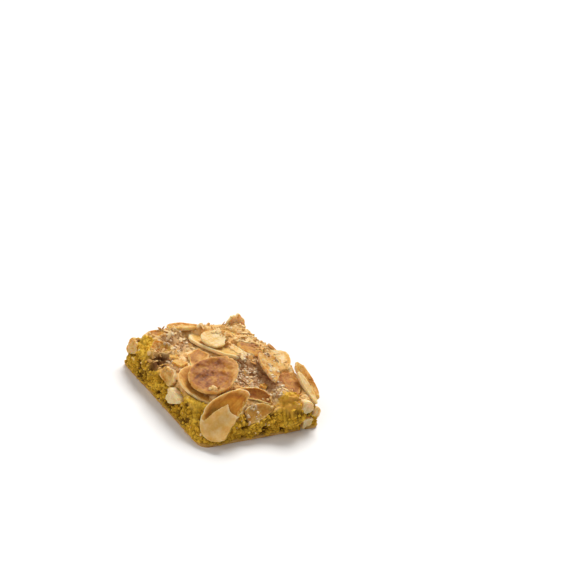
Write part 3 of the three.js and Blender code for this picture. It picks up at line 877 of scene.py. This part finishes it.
def slice_surface(spec, seed, around=128, rows=44, rows_under=10):
    """An almond: rings of points run from the middle of its upper face out to its rim, closer together
    there, and back to the middle of its lower face, which has fewer rings. At a share r of the outline the
    half thickness is scaled by the root of 1 - r**40, so the rim is crisp, and the whole is warped and
    bent. Gives the points, the faces, each point's place in the outline, its share and its side."""
    rim_x, rim_y = slice_rim(spec, seed, around)
    out = 1 - (1 - np.linspace(0, 1, rows + 1)[1:]) ** 1.3
    back = 1 - (1 - np.linspace(1, 0, rows_under + 1)[1:-1]) ** 1.6
    rings = np.concatenate([out, back])
    sides = np.concatenate([np.ones(rows), -np.ones(rows_under - 1)])
    x = np.append(np.outer(rings, rim_x), [0, 0])
    y = np.append(np.outer(rings, rim_y), [0, 0])
    share = np.append(np.repeat(rings, around), [0, 0])
    side = np.append(np.repeat(sides, around), [1, -1])

    flat = np.stack([x, y, np.full(len(x), seed * 3.1)], axis=1)
    round_rim = np.sqrt(np.clip(1 - share ** RIM_POWER, 0, 1))
    face = (side * spec["thick"] / 2 + slice_relief(spec, flat, share, side, seed)) * round_rim
    warp = WARP_HEIGHT * smooth_noise(flat, 5.0, seed + 11) * (0.3 + 0.7 * share)
    points = np.stack([x, y, face + warp + slice_bend(x, y, spec)], axis=1)
    return points, slice_faces(len(rings), around), flat, share, side


def slice_faces(rows, around):
    """Quads between the rings of an almond, and a fan of triangles at the middle of each face."""
    quads = grid_quads(rows, around, True)
    first = np.arange(around)
    beside = (first + 1) % around
    last = (rows - 1) * around
    upper = np.stack([np.full(around, rows * around), first, beside], axis=1)
    lower = np.stack([np.full(around, rows * around + 1), last + beside, last + first], axis=1)
    return [quads[:, ::-1], upper, lower]


def slice_baking(spec, flat, share, seed):
    """Toast of an almond: its face's value goes over to its rim's and is paler towards one side, with
    blotches, fine streaks along it and pale spots. The very edge is paler still, a painted highlight where
    the rim catches the light."""
    rim = smoothstep(0.78, 0.96, share + 0.1 * rough_noise(flat, 3.0, seed + 21))
    toast = spec["face"] + (spec["rim"] - spec["face"]) * rim
    # Painted highlight: the very edge of the rim is drawn paler
    toast = toast - 0.26 * smoothstep(0.94, 0.985, share)
    paler_at, amount = spec["fade"]
    across = distance_along(flat[:, 0], flat[:, 1], paler_at) / spec["size"][1]
    toast = toast - amount * smoothstep(0.0, 0.5, across)
    blotches = rough_noise(flat, 2.6, seed + 22) + 0.5 * rough_noise(flat, 0.8, seed + 24)
    toast = toast + spec["mottle"] * blotches
    toast = toast + 0.09 * smooth_noise(flat * (0.15, 1, 1), 0.45, seed + 23)
    toast = toast - spec["spots"] * smoothstep(0.15, 0.5, rough_noise(flat, 1.7, seed + 25))
    return np.clip(toast, 0, 1)


def torn_layer(points, flat, share, side):
    """The torn pale layer on the front slice: it covers the lower part of the face up to a torn edge with
    one peak, and above that edge the slice is hollowed to a dish. Gives the new points, the layer's mask
    and its toast, which is palest along the tear as a painted highlight on the lifted edge."""
    x, y = flat[:, 0], flat[:, 1]
    jag = 0.3 * rough_noise(flat, 1.6, 301) + 0.15 * rough_noise(flat, 0.5, 302)
    edge = np.interp(y, TORN_ACROSS, TORN_ALONG) + jag
    mask = (1 - smoothstep(-0.12, 0.12, x - edge)) * (side > 0)
    hollow = DISH_DEPTH * (1 - smoothstep(0.66, 0.9, share)) * (side > 0)
    from_ridge = np.abs(y - 0.9 + 0.12 * x)
    ridge = LAYER_RIDGE * (1 - smoothstep(0, RIDGE_WIDTH, from_ridge)) * (1 - smoothstep(0.5, 0.85, share))
    points = points.copy()
    points[:, 2] -= hollow * (1 - mask)
    points[:, 2] += (ridge + 0.06 * rough_noise(flat, 1.5, 304)) * mask
    # Painted highlight: the layer is paler along its lifted torn edge
    torn = np.exp(-np.maximum(edge - x, 0) / 0.5)
    shade = 0.22 - 0.28 * torn + 0.1 * rough_noise(flat, 2.0, 303)
    return points, mask, shade


# Materials

# Point values that the dough's colours follow
DOUGH_VALUES = ("crust", "skin", "sugar", "pit", "grain", "bed_grain", "shaded_hollow", "brown", "base_edge")

# Setting of a Mix node for colours, and its sockets for the share, the two colours and the result, which
# have the same names as those for plain numbers
COLOUR_MIX = {"data_type": "RGBA"}
SHARE, FIRST, SECOND, RESULT = 0, 6, 7, 2


def fill_inputs(tree, node, inputs):
    """Fills a node's inputs: a socket is linked and anything else is set."""
    for key, value in inputs.items():
        if isinstance(value, bpy.types.NodeSocket):
            tree.links.new(value, node.inputs[key])
        else:
            node.inputs[key].default_value = value


def add_node(tree, kind, inputs, settings=None, steps=()):
    """Adds a node, sets its properties, fills its inputs, and gives a colour ramp its steps, each a
    position and a colour."""
    node = tree.nodes.new(kind)
    for key, value in (settings or {}).items():
        setattr(node, key, value)
    fill_inputs(tree, node, inputs)
    for position, _ in steps[1:-1]:
        node.color_ramp.elements.new(position)
    for k, (position, colour) in enumerate(steps):
        node.color_ramp.elements[k].position = position
        node.color_ramp.elements[k].color = colour
    return node


def new_material(name, values=()):
    """Node material with a Principled shader. Gives it with its tree, the shader, the object's own
    coordinates and the sockets of the named point values."""
    material = bpy.data.materials.new(name)
    material.use_nodes = True
    tree = material.node_tree
    tree.nodes.clear()
    shader = add_node(tree, "ShaderNodeBsdfPrincipled", {})
    add_node(tree, "ShaderNodeOutputMaterial", {"Surface": shader.outputs[0]})
    place = add_node(tree, "ShaderNodeTexCoord", {}).outputs["Object"]
    sockets = {}
    for key in values:
        sockets[key] = add_node(tree, "ShaderNodeAttribute", {}, {"attribute_name": key}).outputs["Fac"]
    return material, tree, shader, place, sockets


def dough_material(colours):
    """Baked butter dough: dry yellow crumb, browned where it met the oven's air, with melted brown sugar on
    the crust. Dry and rough to the eye, only the sugar bed shines. Painted shade darkens the deep gaps and
    the dark hollow, and a painted highlight makes raised clumps and bare crumb paler."""
    material, tree, shader, place, value = new_material("butter_dough", DOUGH_VALUES)
    mottle = add_node(tree, "ShaderNodeTexNoise", {"Vector": place, "Scale": 1 / (5 * MM), "Detail": 4.0})
    base = add_node(tree, "ShaderNodeValToRGB", {"Fac": mottle.outputs["Fac"]}, steps=[
        (0.35, colours.base_brown), (0.6, colours.base_edge)])
    crust = add_node(tree, "ShaderNodeValToRGB", {"Fac": value["brown"]}, steps=[
        (0.1, colours.crust_pale), (0.5, colours.crust), (0.95, colours.crust_dark)])
    bed = add_node(tree, "ShaderNodeMix", {
        SHARE: value["bed_grain"], FIRST: colours.sugar_bed, SECOND: colours.sugar_bed_pale}, COLOUR_MIX)
    shaded_hollow = add_node(tree, "ShaderNodeMix", {
        SHARE: value["grain"], FIRST: colours.shaded_hollow, SECOND: colours.shaded_hollow_pale}, COLOUR_MIX)

    # Each colour lies over those before it by its own named value
    layers = [
        # grain lays the pale crumb over the crumb: partly its own tone, partly a painted highlight on raised
        # clumps and bare crumb
        ("grain", colours.crumb_pale),
        # Painted shade: the gap colour darkens the crumb's pits and cracks
        ("pit", colours.crumb_gap_shade),
        ("base_edge", base.outputs["Color"]),
        ("crust", crust.outputs["Color"]),
        ("skin", colours.skin),
        ("sugar", bed.outputs[RESULT]),
        # Painted shade: the hollow's dark colour stands in for the shade in the deep hollow
        ("shaded_hollow", shaded_hollow.outputs[RESULT]),
    ]
    colour = colours.crumb
    for key, cover in layers:
        inputs = {SHARE: value[key], FIRST: colour, SECOND: cover}
        colour = add_node(tree, "ShaderNodeMix", inputs, COLOUR_MIX).outputs[RESULT]

    rough = add_node(tree, "ShaderNodeMapRange", {"Value": value["sugar"], "To Min": 0.8, "To Max": 0.42})
    speck = add_node(tree, "ShaderNodeTexNoise", {"Vector": place, "Scale": 1 / (1.2 * MM), "Detail": 3.0})
    bump = add_node(tree, "ShaderNodeBump", {
        "Height": speck.outputs["Fac"], "Strength": 0.5, "Distance": 0.12 * MM})
    fill_inputs(tree, shader, {
        "Base Color": colour,
        "Roughness": rough.outputs[0],
        "Normal": bump.outputs[0],
        "Subsurface Weight": 0.15,
        "Subsurface Radius": (1.0, 0.6, 0.2),
        "Subsurface Scale": 0.5 * MM,
        "Specular IOR Level": 0.12,
    })
    return material


def almond_material(colours):
    """Blanched sliced almond: a dense, slightly oily kernel that lets light in at thin edges. It goes from
    cream through gold to brown as it toasts, and shines where sugar has melted on it."""
    material, tree, shader, place, value = new_material("sliced_almond", ("toast", "pink", "glaze"))
    speck = add_node(tree, "ShaderNodeTexNoise", {"Vector": place, "Scale": 1 / (0.7 * MM), "Detail": 4.0})
    toast = add_node(tree, "ShaderNodeMath", {
        0: speck.outputs["Fac"], 1: 0.24, 2: value["toast"]}, {"operation": "MULTIPLY_ADD"})
    kernel = add_node(tree, "ShaderNodeValToRGB", {"Fac": toast.outputs[0]}, steps=[
        (0.08, colours.almond_pale), (0.38, colours.almond_gold), (0.62, colours.almond_orange),
        (0.86, colours.almond_brown), (1.0, colours.almond_dark)])
    colour = add_node(tree, "ShaderNodeMix", {
        SHARE: value["pink"], FIRST: kernel.outputs["Color"], SECOND: colours.almond_pink}, COLOUR_MIX)
    rough = add_node(tree, "ShaderNodeMapRange", {"Value": value["glaze"], "To Min": 0.5, "To Max": 0.28})
    bump = add_node(tree, "ShaderNodeBump", {
        "Height": speck.outputs["Fac"], "Strength": 0.35, "Distance": 0.08 * MM})
    fill_inputs(tree, shader, {
        "Base Color": colour.outputs[RESULT],
        "Roughness": rough.outputs[0],
        "Normal": bump.outputs[0],
        "Subsurface Weight": 0.8,
        "Subsurface Radius": (1.0, 0.65, 0.35),
        "Subsurface Scale": 1.8 * MM,
        "IOR": 1.46,
        "Specular IOR Level": 0.07,
    })
    return material


def sugar_material(colours):
    """Granulated sugar: small crystals that let light right through them, so they glow and sparkle."""
    material, tree, shader, _, value = new_material("granulated_sugar", ("grain",))
    colour = add_node(tree, "ShaderNodeMix", {
        SHARE: value["grain"], FIRST: colours.sugar_grain, SECOND: colours.sugar_grain_brown}, COLOUR_MIX)
    fill_inputs(tree, shader, {
        "Base Color": colour.outputs[RESULT],
        "Roughness": 0.3,
        "IOR": 1.54,
        "Specular IOR Level": 0.3,
        "Subsurface Weight": 0.2,
        "Subsurface Radius": (1.0, 0.85, 0.6),
        "Subsurface Scale": 0.25 * MM,
    })
    return material


def floor_material():
    """Matt white card: an even pale ground, mottled too faintly to show as a pattern."""
    material, tree, shader, place, _ = new_material("matt_card")
    mottle = add_node(tree, "ShaderNodeTexNoise", {"Vector": place, "Scale": 1 / (25 * MM)})
    colour = add_node(tree, "ShaderNodeMix", {
        SHARE: mottle.outputs["Fac"], FIRST: linear("#F6F4F2"), SECOND: linear("#F8F6F4")}, COLOUR_MIX)
    fill_inputs(tree, shader, {"Base Color": colour.outputs[RESULT], "Roughness": 0.9})
    return material


# Scattered pieces

def rounded_lump():
    """Corner points of a small ball: a cube with each side cut in four, its 26 points put on a sphere."""
    cells = np.array([c for c in np.ndindex(3, 3, 3) if c != (1, 1, 1)]) - 1
    lookup = {tuple(c): k for k, c in enumerate(cells)}
    quads = []
    for axis in range(3):
        for side in (-1, 1):
            for i, j in np.ndindex(2, 2):
                ring = [(i - 1, j - 1), (i, j - 1), (i, j), (i - 1, j)][::side]
                quads.append([lookup[tuple(np.insert(c, axis, side))] for c in ring])
    points = cells / np.linalg.norm(cells, axis=1, keepdims=True)
    quads = np.array(quads)
    a, b, c = (points[quads[:, k]] for k in range(3))
    inward = np.sum(np.cross(b - a, c - a) * a, axis=1) < 0
    quads[inward] = quads[inward][:, ::-1]
    return points, quads


def random_turns(count, draw):
    """Evenly spread random rotations, from normalised random quaternions."""
    q = draw.normal(size=(count, 4))
    w, x, y, z = (q / np.linalg.norm(q, axis=1, keepdims=True)).T
    rows = [[1 - 2 * (y * y + z * z), 2 * (x * y - w * z), 2 * (x * z + w * y)],
            [2 * (x * y + w * z), 1 - 2 * (x * x + z * z), 2 * (y * z - w * x)],
            [2 * (x * z - w * y), 2 * (y * z + w * x), 1 - 2 * (x * x + y * y)]]
    return np.array(rows).transpose(2, 0, 1)


def lying_turns(normals, tilt, draw):
    """Rotations that lay a flat shape along the surface, each tipped a little and turned at random."""
    up = normals + tilt * draw.normal(size=normals.shape)
    up /= np.linalg.norm(up, axis=1, keepdims=True)
    side = np.cross(up, draw.normal(size=normals.shape))
    side /= np.linalg.norm(side, axis=1, keepdims=True)
    return np.stack([side, np.cross(up, side), up], axis=2)


def scatter(shape, centres, scales, turns, rough, draw):
    """Copies of a shape as one mesh: each is jittered, stretched, turned and moved to its centre."""
    points, faces = shape
    count = len(centres)
    local = points[None] * (1 + rough * draw.uniform(-1, 1, size=(count, len(points), 1)))
    local = local * scales[:, None, :]
    placed = np.einsum("nij,npj->npi", turns, local) + centres[:, None, :]
    shift = (np.arange(count) * len(points))[:, None, None]
    return placed.reshape(-1, 3), (faces[None] + shift).reshape(-1, faces.shape[1])


def choose(weight, count, draw):
    """Different points, drawn by weight."""
    return draw.choice(len(weight), count, replace=False, p=weight / weight.sum())


def piece_points(name):
    """Points of a piece in millimetres, and its normals."""
    mesh = bpy.data.objects[name].data
    points = np.empty(len(mesh.vertices) * 3, np.float32)
    normals = np.empty_like(points)
    mesh.vertices.foreach_get("co", points)
    mesh.vertices.foreach_get("normal", normals)
    return points.reshape(-1, 3).astype(float) / MM, normals.reshape(-1, 3).astype(float)


def piece_values(name, key):
    """A named point value of a piece."""
    layer = bpy.data.objects[name].data.attributes[key]
    values = np.empty(len(layer.data), np.float32)
    layer.data.foreach_get("value", values)
    return values.astype(float)


def under_a_slice(points):
    """True for points that lie below a slice and within its outline."""
    hidden = np.zeros(len(points), bool)
    for spec in SLICES.values():
        local, share = in_slice(points, spec)
        hidden |= (share < 1.02) & (local[:, 2] < 0.3) & (local[:, 2] > -4)
    return hidden


def near_a_rim(points):
    """1 for points just outside the outline of a slice and near its height, and 0 further off."""
    near = np.zeros(len(points))
    for spec in SLICES.values():
        local, share = in_slice(points, spec)
        beside = smoothstep(0.85, 0.98, share) * (1 - smoothstep(1.05, 1.3, share))
        near = np.maximum(near, beside * (np.abs(local[:, 2]) < 2.5))
    return near


# Properties

def length(name, description, default):
    """Length property: its default is given here in millimetres and kept in metres."""
    return bpy.props.FloatProperty(
        name=name, description=description, default=default * MM, min=0.0, precision=5, unit="LENGTH")


def count_of(name, description, default):
    """Whole-number property."""
    return bpy.props.IntProperty(name=name, description=description, default=default, min=0)


def colour_of(name, description, default):
    """Colour property: its default is given here as an sRGB hex value and kept linear."""
    return bpy.props.FloatVectorProperty(
        name=name, description=description, default=linear(default), size=4, min=0.0, max=1.0,
        subtype="COLOR")


def in_millimetres(group):
    """The lengths of a property group in millimetres, with its counts as they are."""
    values = {key: getattr(group, key) for key in group.__annotations__}
    return SimpleNamespace(**{key: v / MM if isinstance(v, float) else v for key, v in values.items()})


class BiscuitSizes(bpy.types.PropertyGroup):
    """Sizes of the crumb and counts of the scattered pieces"""

    step: length("Mesh step", "Spacing of the dough's points", 0.24)
    grain: length("Grain", "Spacing of the crumb's larger grains", 1.45)
    grain_height: length("Grain height", "How far the grains stand out", 0.85)
    clump: length("Clump", "Spacing of the clumps of grains", 2.0)
    clump_height: length("Clump height", "How far the clumps stand out", 0.6)
    flake: length("Flake", "Spacing of the crust's flakes", 2.6)
    flake_height: length("Flake height", "How unevenly the crust's flakes lie", 0.45)
    crust_grain: length("Crust grain", "Height of the crust's fine grain", 0.18)
    sugar_lump: length("Sugar lump", "Spacing of the lumps in the sugar beds", 1.5)
    pit: length("Pit", "Spacing of the open pits", 2.8)
    pit_depth: length("Pit depth", "Depth of the open pits", 1.2)
    bed_gap: length("Bed gap", "Gap between a slice and the dough under it", 0.12)
    crumbs: count_of("Crumbs", "Number of loose crumbs on the cut faces and edges", 1800)
    crust_bits: count_of("Crust bits", "Number of bits of crust on the top", 380)
    crust_flakes: count_of("Crust flakes", "Number of thin flakes of crust on the top", 260)
    sugar: count_of("Sugar grains", "Number of sugar grains on the crust", 420)
    slice_sugar: count_of("Sugar on almonds", "Number of sugar grains on the glazed slices", 36)


class BiscuitColours(bpy.types.PropertyGroup):
    """Colours of the dough, the crust, the almonds and the sugar"""

    crumb: colour_of("Crumb", "Crumb grain, darker", "#B88814")
    # Pale crumb is partly the crumb's own paler grains and partly a painted highlight on raised clumps and
    # bare crumb
    crumb_pale: colour_of("Pale crumb", "Crumb grain, paler", "#EEBF42")
    # Painted shade: the dark gap colour stands in for the shade in the crumb's gaps and cracks
    crumb_gap_shade: colour_of("Crumb gap", "Gaps between the crumb's grains", "#5C3A04")
    base_edge: colour_of("Base", "Smoother rim and underside of the base", "#DDB068")
    base_brown: colour_of("Browned base", "Parts of the base that browned more", "#C0904C")
    crust_pale: colour_of("Pale crust", "Crust that browned least", "#F4D49C")
    crust: colour_of("Crust", "Golden crust", "#E2B068")
    crust_dark: colour_of("Browned crust", "Crust that browned most", "#B87C40")
    skin: colour_of("Lobe skin", "Browned skin of the lobe over the front face", "#CA8E40")
    sugar_bed: colour_of("Sugar bed", "Melted brown sugar", "#945E30")
    sugar_bed_pale: colour_of("Pale sugar bed", "Sugar that set paler", "#D2A472")
    # Painted shade: the hollow's dark colours stand in for the shade in the deep hollow
    shaded_hollow: colour_of("Burnt hollow", "Dark hollow at the left edge", "#4E2C14")
    shaded_hollow_pale: colour_of("Browned hollow", "Paler grains in the dark hollow", "#84562A")
    almond_pale: colour_of("Pale almond", "Untoasted kernel", "#EED6A6")
    almond_gold: colour_of("Golden almond", "Lightly toasted kernel", "#DEB062")
    almond_orange: colour_of("Orange almond", "Toasted kernel", "#C68A3A")
    almond_brown: colour_of("Brown almond", "Well toasted kernel", "#9C5C2A")
    almond_dark: colour_of("Dark almond", "Darkest toast", "#673A20")
    almond_pink: colour_of("Dull brown almond", "Brown of the slice on top", "#A06A3C")
    sugar_grain: colour_of("Sugar", "Clear sugar grain", "#F0DAB0")
    sugar_grain_brown: colour_of("Brown sugar", "Sugar grain stained by syrup", "#B2804E")


# Operators

class BISCUIT_OT_dough(bpy.types.Operator):
    """Makes the crumbly dough with its crust"""

    bl_idname = "biscuit.dough"
    bl_label = "Dough"

    def execute(self, context):
        """One closed mesh stands for the dough."""
        points, faces, attributes = dough_surface(in_millimetres(context.scene.biscuit_sizes))
        material = dough_material(context.scene.biscuit_colours)
        seat(make_piece("dough_crumb", points, faces, material, attributes), "baked_dough", "dough")
        return {"FINISHED"}


class BISCUIT_OT_almonds(bpy.types.Operator):
    """Makes every slice and chunk of almond"""

    bl_idname = "biscuit.almonds"
    bl_label = "Sliced almonds"

    def execute(self, context):
        """Each slice is a piece of its own and stands for its own solid."""
        material = almond_material(context.scene.biscuit_colours)
        for seed, (name, spec) in enumerate(ALMONDS.items(), start=SLICE_SEED):
            points, faces, flat, share, side = slice_surface(spec, seed)
            toast = slice_baking(spec, flat, share, seed)
            if name == "slice_front_corner":
                points, layer, shade = torn_layer(points, flat, share, side)
                toast = np.clip(toast + (shade - toast) * layer, 0, 1)
            placed = points @ turn_of(spec).T + np.array(spec["at"])
            attributes = {
                "toast": toast,
                "pink": np.full(len(points), spec["pink"]),
                "glaze": np.full(len(points), spec["glaze"]),
            }
            seat(make_piece("almond_" + name, placed, faces, material, attributes), spec["slot"], name)
        return {"FINISHED"}


class BISCUIT_OT_chips(bpy.types.Operator):
    """Makes the small chips of almond on the slab"""

    bl_idname = "biscuit.chips"
    bl_label = "Almond chips"

    def execute(self, context):
        """All chips are one piece."""
        points, faces, toasts, total = [], [], [], 0
        for seed, (face, along, up, size, turn) in enumerate(CHIPS, start=CHIP_SEED):
            at, lean, toward = self.place(face, along, up, turn)
            toast = CHIP_TOAST[face]
            spec = {
                **CHUNK_LOOK, "size": size, "heading": turn, "lean": lean, "toward": toward,
                "thick": CHIP_THICK, "breaks": [(180, size[0] * CHIP_BREAK)],
                "face": toast, "rim": toast + 0.1, "mottle": 0.15,
            }
            shape, parts, flat, share, _ = slice_surface(spec, seed, around=40, rows=10, rows_under=4)
            points.append(shape @ turn_of(spec).T + at)
            faces.append([part + total for part in parts])
            toasts.append(slice_baking(spec, flat, share, seed))
            total += len(shape)
        attributes = {
            "toast": np.concatenate(toasts),
            "pink": np.full(total, 0.1),
            "glaze": np.full(total, 0.3),
        }
        joined = [np.concatenate(group) for group in zip(*faces)]
        material = bpy.data.materials["sliced_almond"]
        piece = make_piece("almond_chips", np.concatenate(points), joined, material, attributes)
        seat(piece, "pale_almond")
        return {"FINISHED"}

    @staticmethod
    def place(face, along, up, turn):
        """Middle of a chip on a face of the slab, how far it leans, and to which side."""
        height = float(crust_height(np.array([float(along)]), np.array([float(up)]))[0])
        return {
            "right": ((LENGTH_X / 2 - LEAN_IN["right"] / 2, along, up), CHIP_UPRIGHT, 0),
            "front": ((along, -LENGTH_Y / 2, up), CHIP_UPRIGHT, 270),
            "back": ((along, LENGTH_Y / 2 - LEAN_IN["back"] / 2, up), CHIP_UPRIGHT, 90),
            "top": ((along, up, height + CHIP_THICK / 4), CHIP_FLAT, turn),
        }[face]


class BISCUIT_OT_crumbs(bpy.types.Operator):
    """Scatters loose crumbs over the cut faces and bits of crust over the top"""

    bl_idname = "biscuit.crumbs"
    bl_label = "Crumbs and crust bits"

    def execute(self, context):
        """Crumbs lie half sunk where the dough is bare, bits of crust mostly along the slices' rims."""
        draw = np.random.default_rng(CRUMB_SEED)
        sizes = context.scene.biscuit_sizes
        points, normals = piece_points("dough_crumb")
        value = {key: piece_values("dough_crumb", key) for key in ("crust", "pit", "shaded_hollow", "skin")}
        shown = np.where(under_a_slice(points), 0, smoothstep(*CRUMBS_FROM, points[:, 2]))
        bare = (1 - value["crust"]) * shown * (1 - 0.8 * value["pit"])
        bare *= (1 - value["shaded_hollow"]) * (1 - 0.8 * value["skin"])
        topped = value["crust"] * shown * (0.25 + near_a_rim(points))
        crumbs = self.pick(points, normals, bare, sizes.crumbs, CRUMB_RADIUS, draw)
        self.strew("loose_crumbs", crumbs, 0.0, draw)
        bits = self.pick(points, normals, topped, sizes.crust_bits, BIT_RADIUS, draw)
        self.strew("crust_bits", bits, 1.0, draw)
        plates = self.pick(points, normals, topped, sizes.crust_flakes, FLAKE_RADIUS, draw)
        self.strew("crust_flakes", plates, 1.0, draw, **CRUST_FLAKE)
        self.drifts(draw)
        return {"FINISHED"}

    def drifts(self, draw):
        """Small heaps of crumbs and flakes on the slices and at the hollow."""
        heaps, crust = [], []
        for name, place, reach, count, size, share in DRIFTS:
            points, normals = piece_points(name)
            weight = np.exp(-np.sum((points - place) ** 2, axis=1) / reach ** 2) * (normals[:, 2] > -0.1)
            heaps.append(self.pick(points, normals, weight, count, size, draw))
            crust.append(np.full(count, share))
        joined = [np.concatenate(group) for group in zip(*heaps)]
        self.strew("drifted_crumbs", joined, np.concatenate(crust), draw, **DRIFT_FLAKE)

    @staticmethod
    def pick(points, normals, weight, count, size, draw):
        """Places drawn by weight, the normals there, and the size of each lump, sunk to its middle."""
        chosen = choose(weight, count, draw)
        radius = draw.lognormal(np.log(size), RADIUS_SPREAD, count)
        radius = np.clip(radius, *(size * limit for limit in RADIUS_LIMITS))
        centres = points[chosen] + normals[chosen] * (0.1 * radius)[:, None]
        centres[:, 2] = np.maximum(centres[:, 2], 1.2 * radius)
        return centres, normals[chosen], radius

    @staticmethod
    def strew(name, lumps, crust, draw, tilt=None, thick=1.0, brown=(1.0, 1.8)):
        """One piece of lumps, each with its own size, turn and shade. With a tilt they are flakes of a set
        thickness that lie along the surface."""
        centres, normals, radius = lumps
        count = len(centres)
        scales = radius[:, None] * draw.uniform(*LUMP_STRETCH, (count, 3))
        turns = random_turns(count, draw)
        rough = LUMP_ROUGH
        if tilt is not None:
            rough = FLAKE_ROUGH
            scales[:, 2] = thick * radius
            turns = lying_turns(normals, tilt, draw)
        shape = rounded_lump()
        placed, faces = scatter(shape, centres, scales, turns, rough, draw)
        each = len(shape[0])
        attributes = {key: np.zeros(len(placed)) for key in DOUGH_VALUES}
        almond = (draw.random(count) < ALMOND_CRUMBS) & (tilt is None)
        attributes["crust"] = np.repeat(np.where(almond, 1.0, crust), each)
        attributes["grain"] = np.repeat(draw.uniform(0.1, 1, count), each)
        attributes["brown"] = np.repeat(np.where(almond, 0.0, draw.beta(*brown, count)), each)
        material = bpy.data.materials["butter_dough"]
        seat(make_piece(name, placed, [faces], material, attributes, smooth=False), "baked_dough")


class BISCUIT_OT_sugar(bpy.types.Operator):
    """Scatters sugar grains over the crust and the glazed almonds"""

    bl_idname = "biscuit.sugar"
    bl_label = "Sugar grains"

    def execute(self, context):
        """Grains lie thick on the sugar beds and thinly on the rest of the crust and the glazed slices."""
        draw = np.random.default_rng(SUGAR_SEED)
        sizes = context.scene.biscuit_sizes
        groups = [self.on_crust(sizes.sugar, draw), *self.on_slices(sizes.slice_sugar, draw)]
        centres, normals, stained = (np.concatenate(group) for group in zip(*groups))
        count = len(centres)
        radius = np.clip(draw.lognormal(np.log(SUGAR_RADIUS), SUGAR_SPREAD, count), *SUGAR_LIMITS)
        scales = radius[:, None] * draw.uniform(*SUGAR_STRETCH, (count, 3))
        scales[:, 2] *= SUGAR_FLAT
        turns = lying_turns(normals, SUGAR_TILT, draw)
        shape = rounded_lump()
        placed, faces = scatter(shape, centres, scales, turns, SUGAR_ROUGH, draw)
        clear = draw.random(count) < CLEAR_SUGAR
        stain = np.where(clear, CLEAR_STAIN, draw.beta(*SUGAR_STAIN, count)) * (0.3 + 0.7 * stained)
        attributes = {"grain": np.repeat(stain, len(shape[0]))}
        material = sugar_material(context.scene.biscuit_colours)
        seat(make_piece("sugar_grains", placed, [faces], material, attributes), "baked_dough")
        return {"FINISHED"}

    @staticmethod
    def on_crust(count, draw):
        """Places, normals and stain of the grains on the crust."""
        points, normals = piece_points("dough_crumb")
        bed = piece_values("dough_crumb", "sugar")
        weight = bed + 0.02 * piece_values("dough_crumb", "crust")
        chosen = choose(np.where(under_a_slice(points), 0, weight), count, draw)
        return points[chosen], normals[chosen], smoothstep(0.2, 0.6, bed[chosen])

    @staticmethod
    def on_slices(count, draw):
        """Places, normals and stain of the grains on each glazed slice, shared out by its glaze."""
        glazed = {name: spec["glaze"] for name, spec in ALMONDS.items() if spec["glaze"] >= SUGARED_FROM}
        groups = []
        for name, glaze in glazed.items():
            points, normals = piece_points("almond_" + name)
            patches = 0.03 + smoothstep(0.0, 0.5, rough_noise(points, 3.5, 77))
            share = int(count * glaze / sum(glazed.values()))
            chosen = choose((normals[:, 2] > 0.2) * patches, share, draw)
            groups.append((points[chosen], normals[chosen], np.full(share, SLICE_STAIN)))
        return groups


class BISCUIT_OT_stage(bpy.types.Operator):
    """Adds the pale floor, the soft lights and the camera"""

    bl_idname = "biscuit.stage"
    bl_label = "Stage"

    def execute(self, context):
        """The floor is a wide flat card just under the base; the key light comes from behind."""
        scene = context.scene
        scene.view_settings.view_transform = "Standard"
        line = np.linspace(-FLOOR_HALF, FLOOR_HALF, FLOOR_ROWS)
        x, y = np.meshgrid(line, line)
        points = np.stack([x.ravel(), y.ravel(), np.full(x.size, -FLOOR_GAP)], axis=1)
        floor = make_piece("floor", points, [grid_quads(FLOOR_ROWS, FLOOR_ROWS, False)], floor_material())

        world = bpy.data.worlds.new("soft_room")
        scene.world = world
        world.use_nodes = True
        room = world.node_tree.nodes["Background"]
        room.inputs["Color"].default_value = linear("#FFFFFF")
        room.inputs["Strength"].default_value = ROOM_LIGHT
        for name, (toward, spread, strength) in LIGHTS.items():
            lamp = bpy.data.lights.new(name, "SUN")
            lamp.angle = np.radians(spread)
            lamp.energy = strength
            light = bpy.data.objects.new(name, lamp)
            scene.collection.objects.link(light)
            light.rotation_euler = Vector(toward).to_track_quat("Z", "Y").to_euler()

        lens = bpy.data.cameras.new("camera")
        lens.lens = LENS
        lens.sensor_width = SENSOR_WIDTH
        lens.clip_start = CLIP_START * MM
        camera = bpy.data.objects.new("camera", lens)
        scene.collection.objects.link(camera)
        camera.location = Vector(CAMERA_AT) * MM
        camera.rotation_euler = np.radians(CAMERA_TURN)
        scene.camera = camera
        return {"FINISHED"}


class BISCUIT_PT_panel(bpy.types.Panel):
    """Buttons and sizes of the biscuit"""

    bl_idname = "BISCUIT_PT_panel"
    bl_label = "Almond biscuit"
    bl_space_type = "VIEW_3D"
    bl_region_type = "UI"
    bl_category = "Biscuit"

    def draw(self, context):
        """Lists the operators, then the sizes and colours."""
        for operator in OPERATORS:
            self.layout.operator(operator.bl_idname)
        for group in (context.scene.biscuit_sizes, context.scene.biscuit_colours):
            for key in group.__annotations__:
                self.layout.prop(group, key)


OPERATORS = (
    BISCUIT_OT_dough,
    BISCUIT_OT_almonds,
    BISCUIT_OT_chips,
    BISCUIT_OT_crumbs,
    BISCUIT_OT_sugar,
    BISCUIT_OT_stage,
)
CLASSES = (BiscuitSizes, BiscuitColours, *OPERATORS, BISCUIT_PT_panel)


def register():
    """Registers the classes and gives the scene its properties."""
    for cls in CLASSES:
        bpy.utils.register_class(cls)
    bpy.types.Scene.biscuit_sizes = bpy.props.PointerProperty(type=BiscuitSizes)
    bpy.types.Scene.biscuit_colours = bpy.props.PointerProperty(type=BiscuitColours)


def unregister():
    """Undoes register."""
    del bpy.types.Scene.biscuit_colours
    del bpy.types.Scene.biscuit_sizes
    for cls in reversed(CLASSES):
        bpy.utils.unregister_class(cls)


def main():
    """Builds every piece in order."""
    register()
    bpy.ops.biscuit.dough()
    bpy.ops.biscuit.almonds()
    bpy.ops.biscuit.chips()
    bpy.ops.biscuit.crumbs()
    bpy.ops.biscuit.sugar()
    bpy.ops.biscuit.stage()


if __name__ == "__main__":
    main()
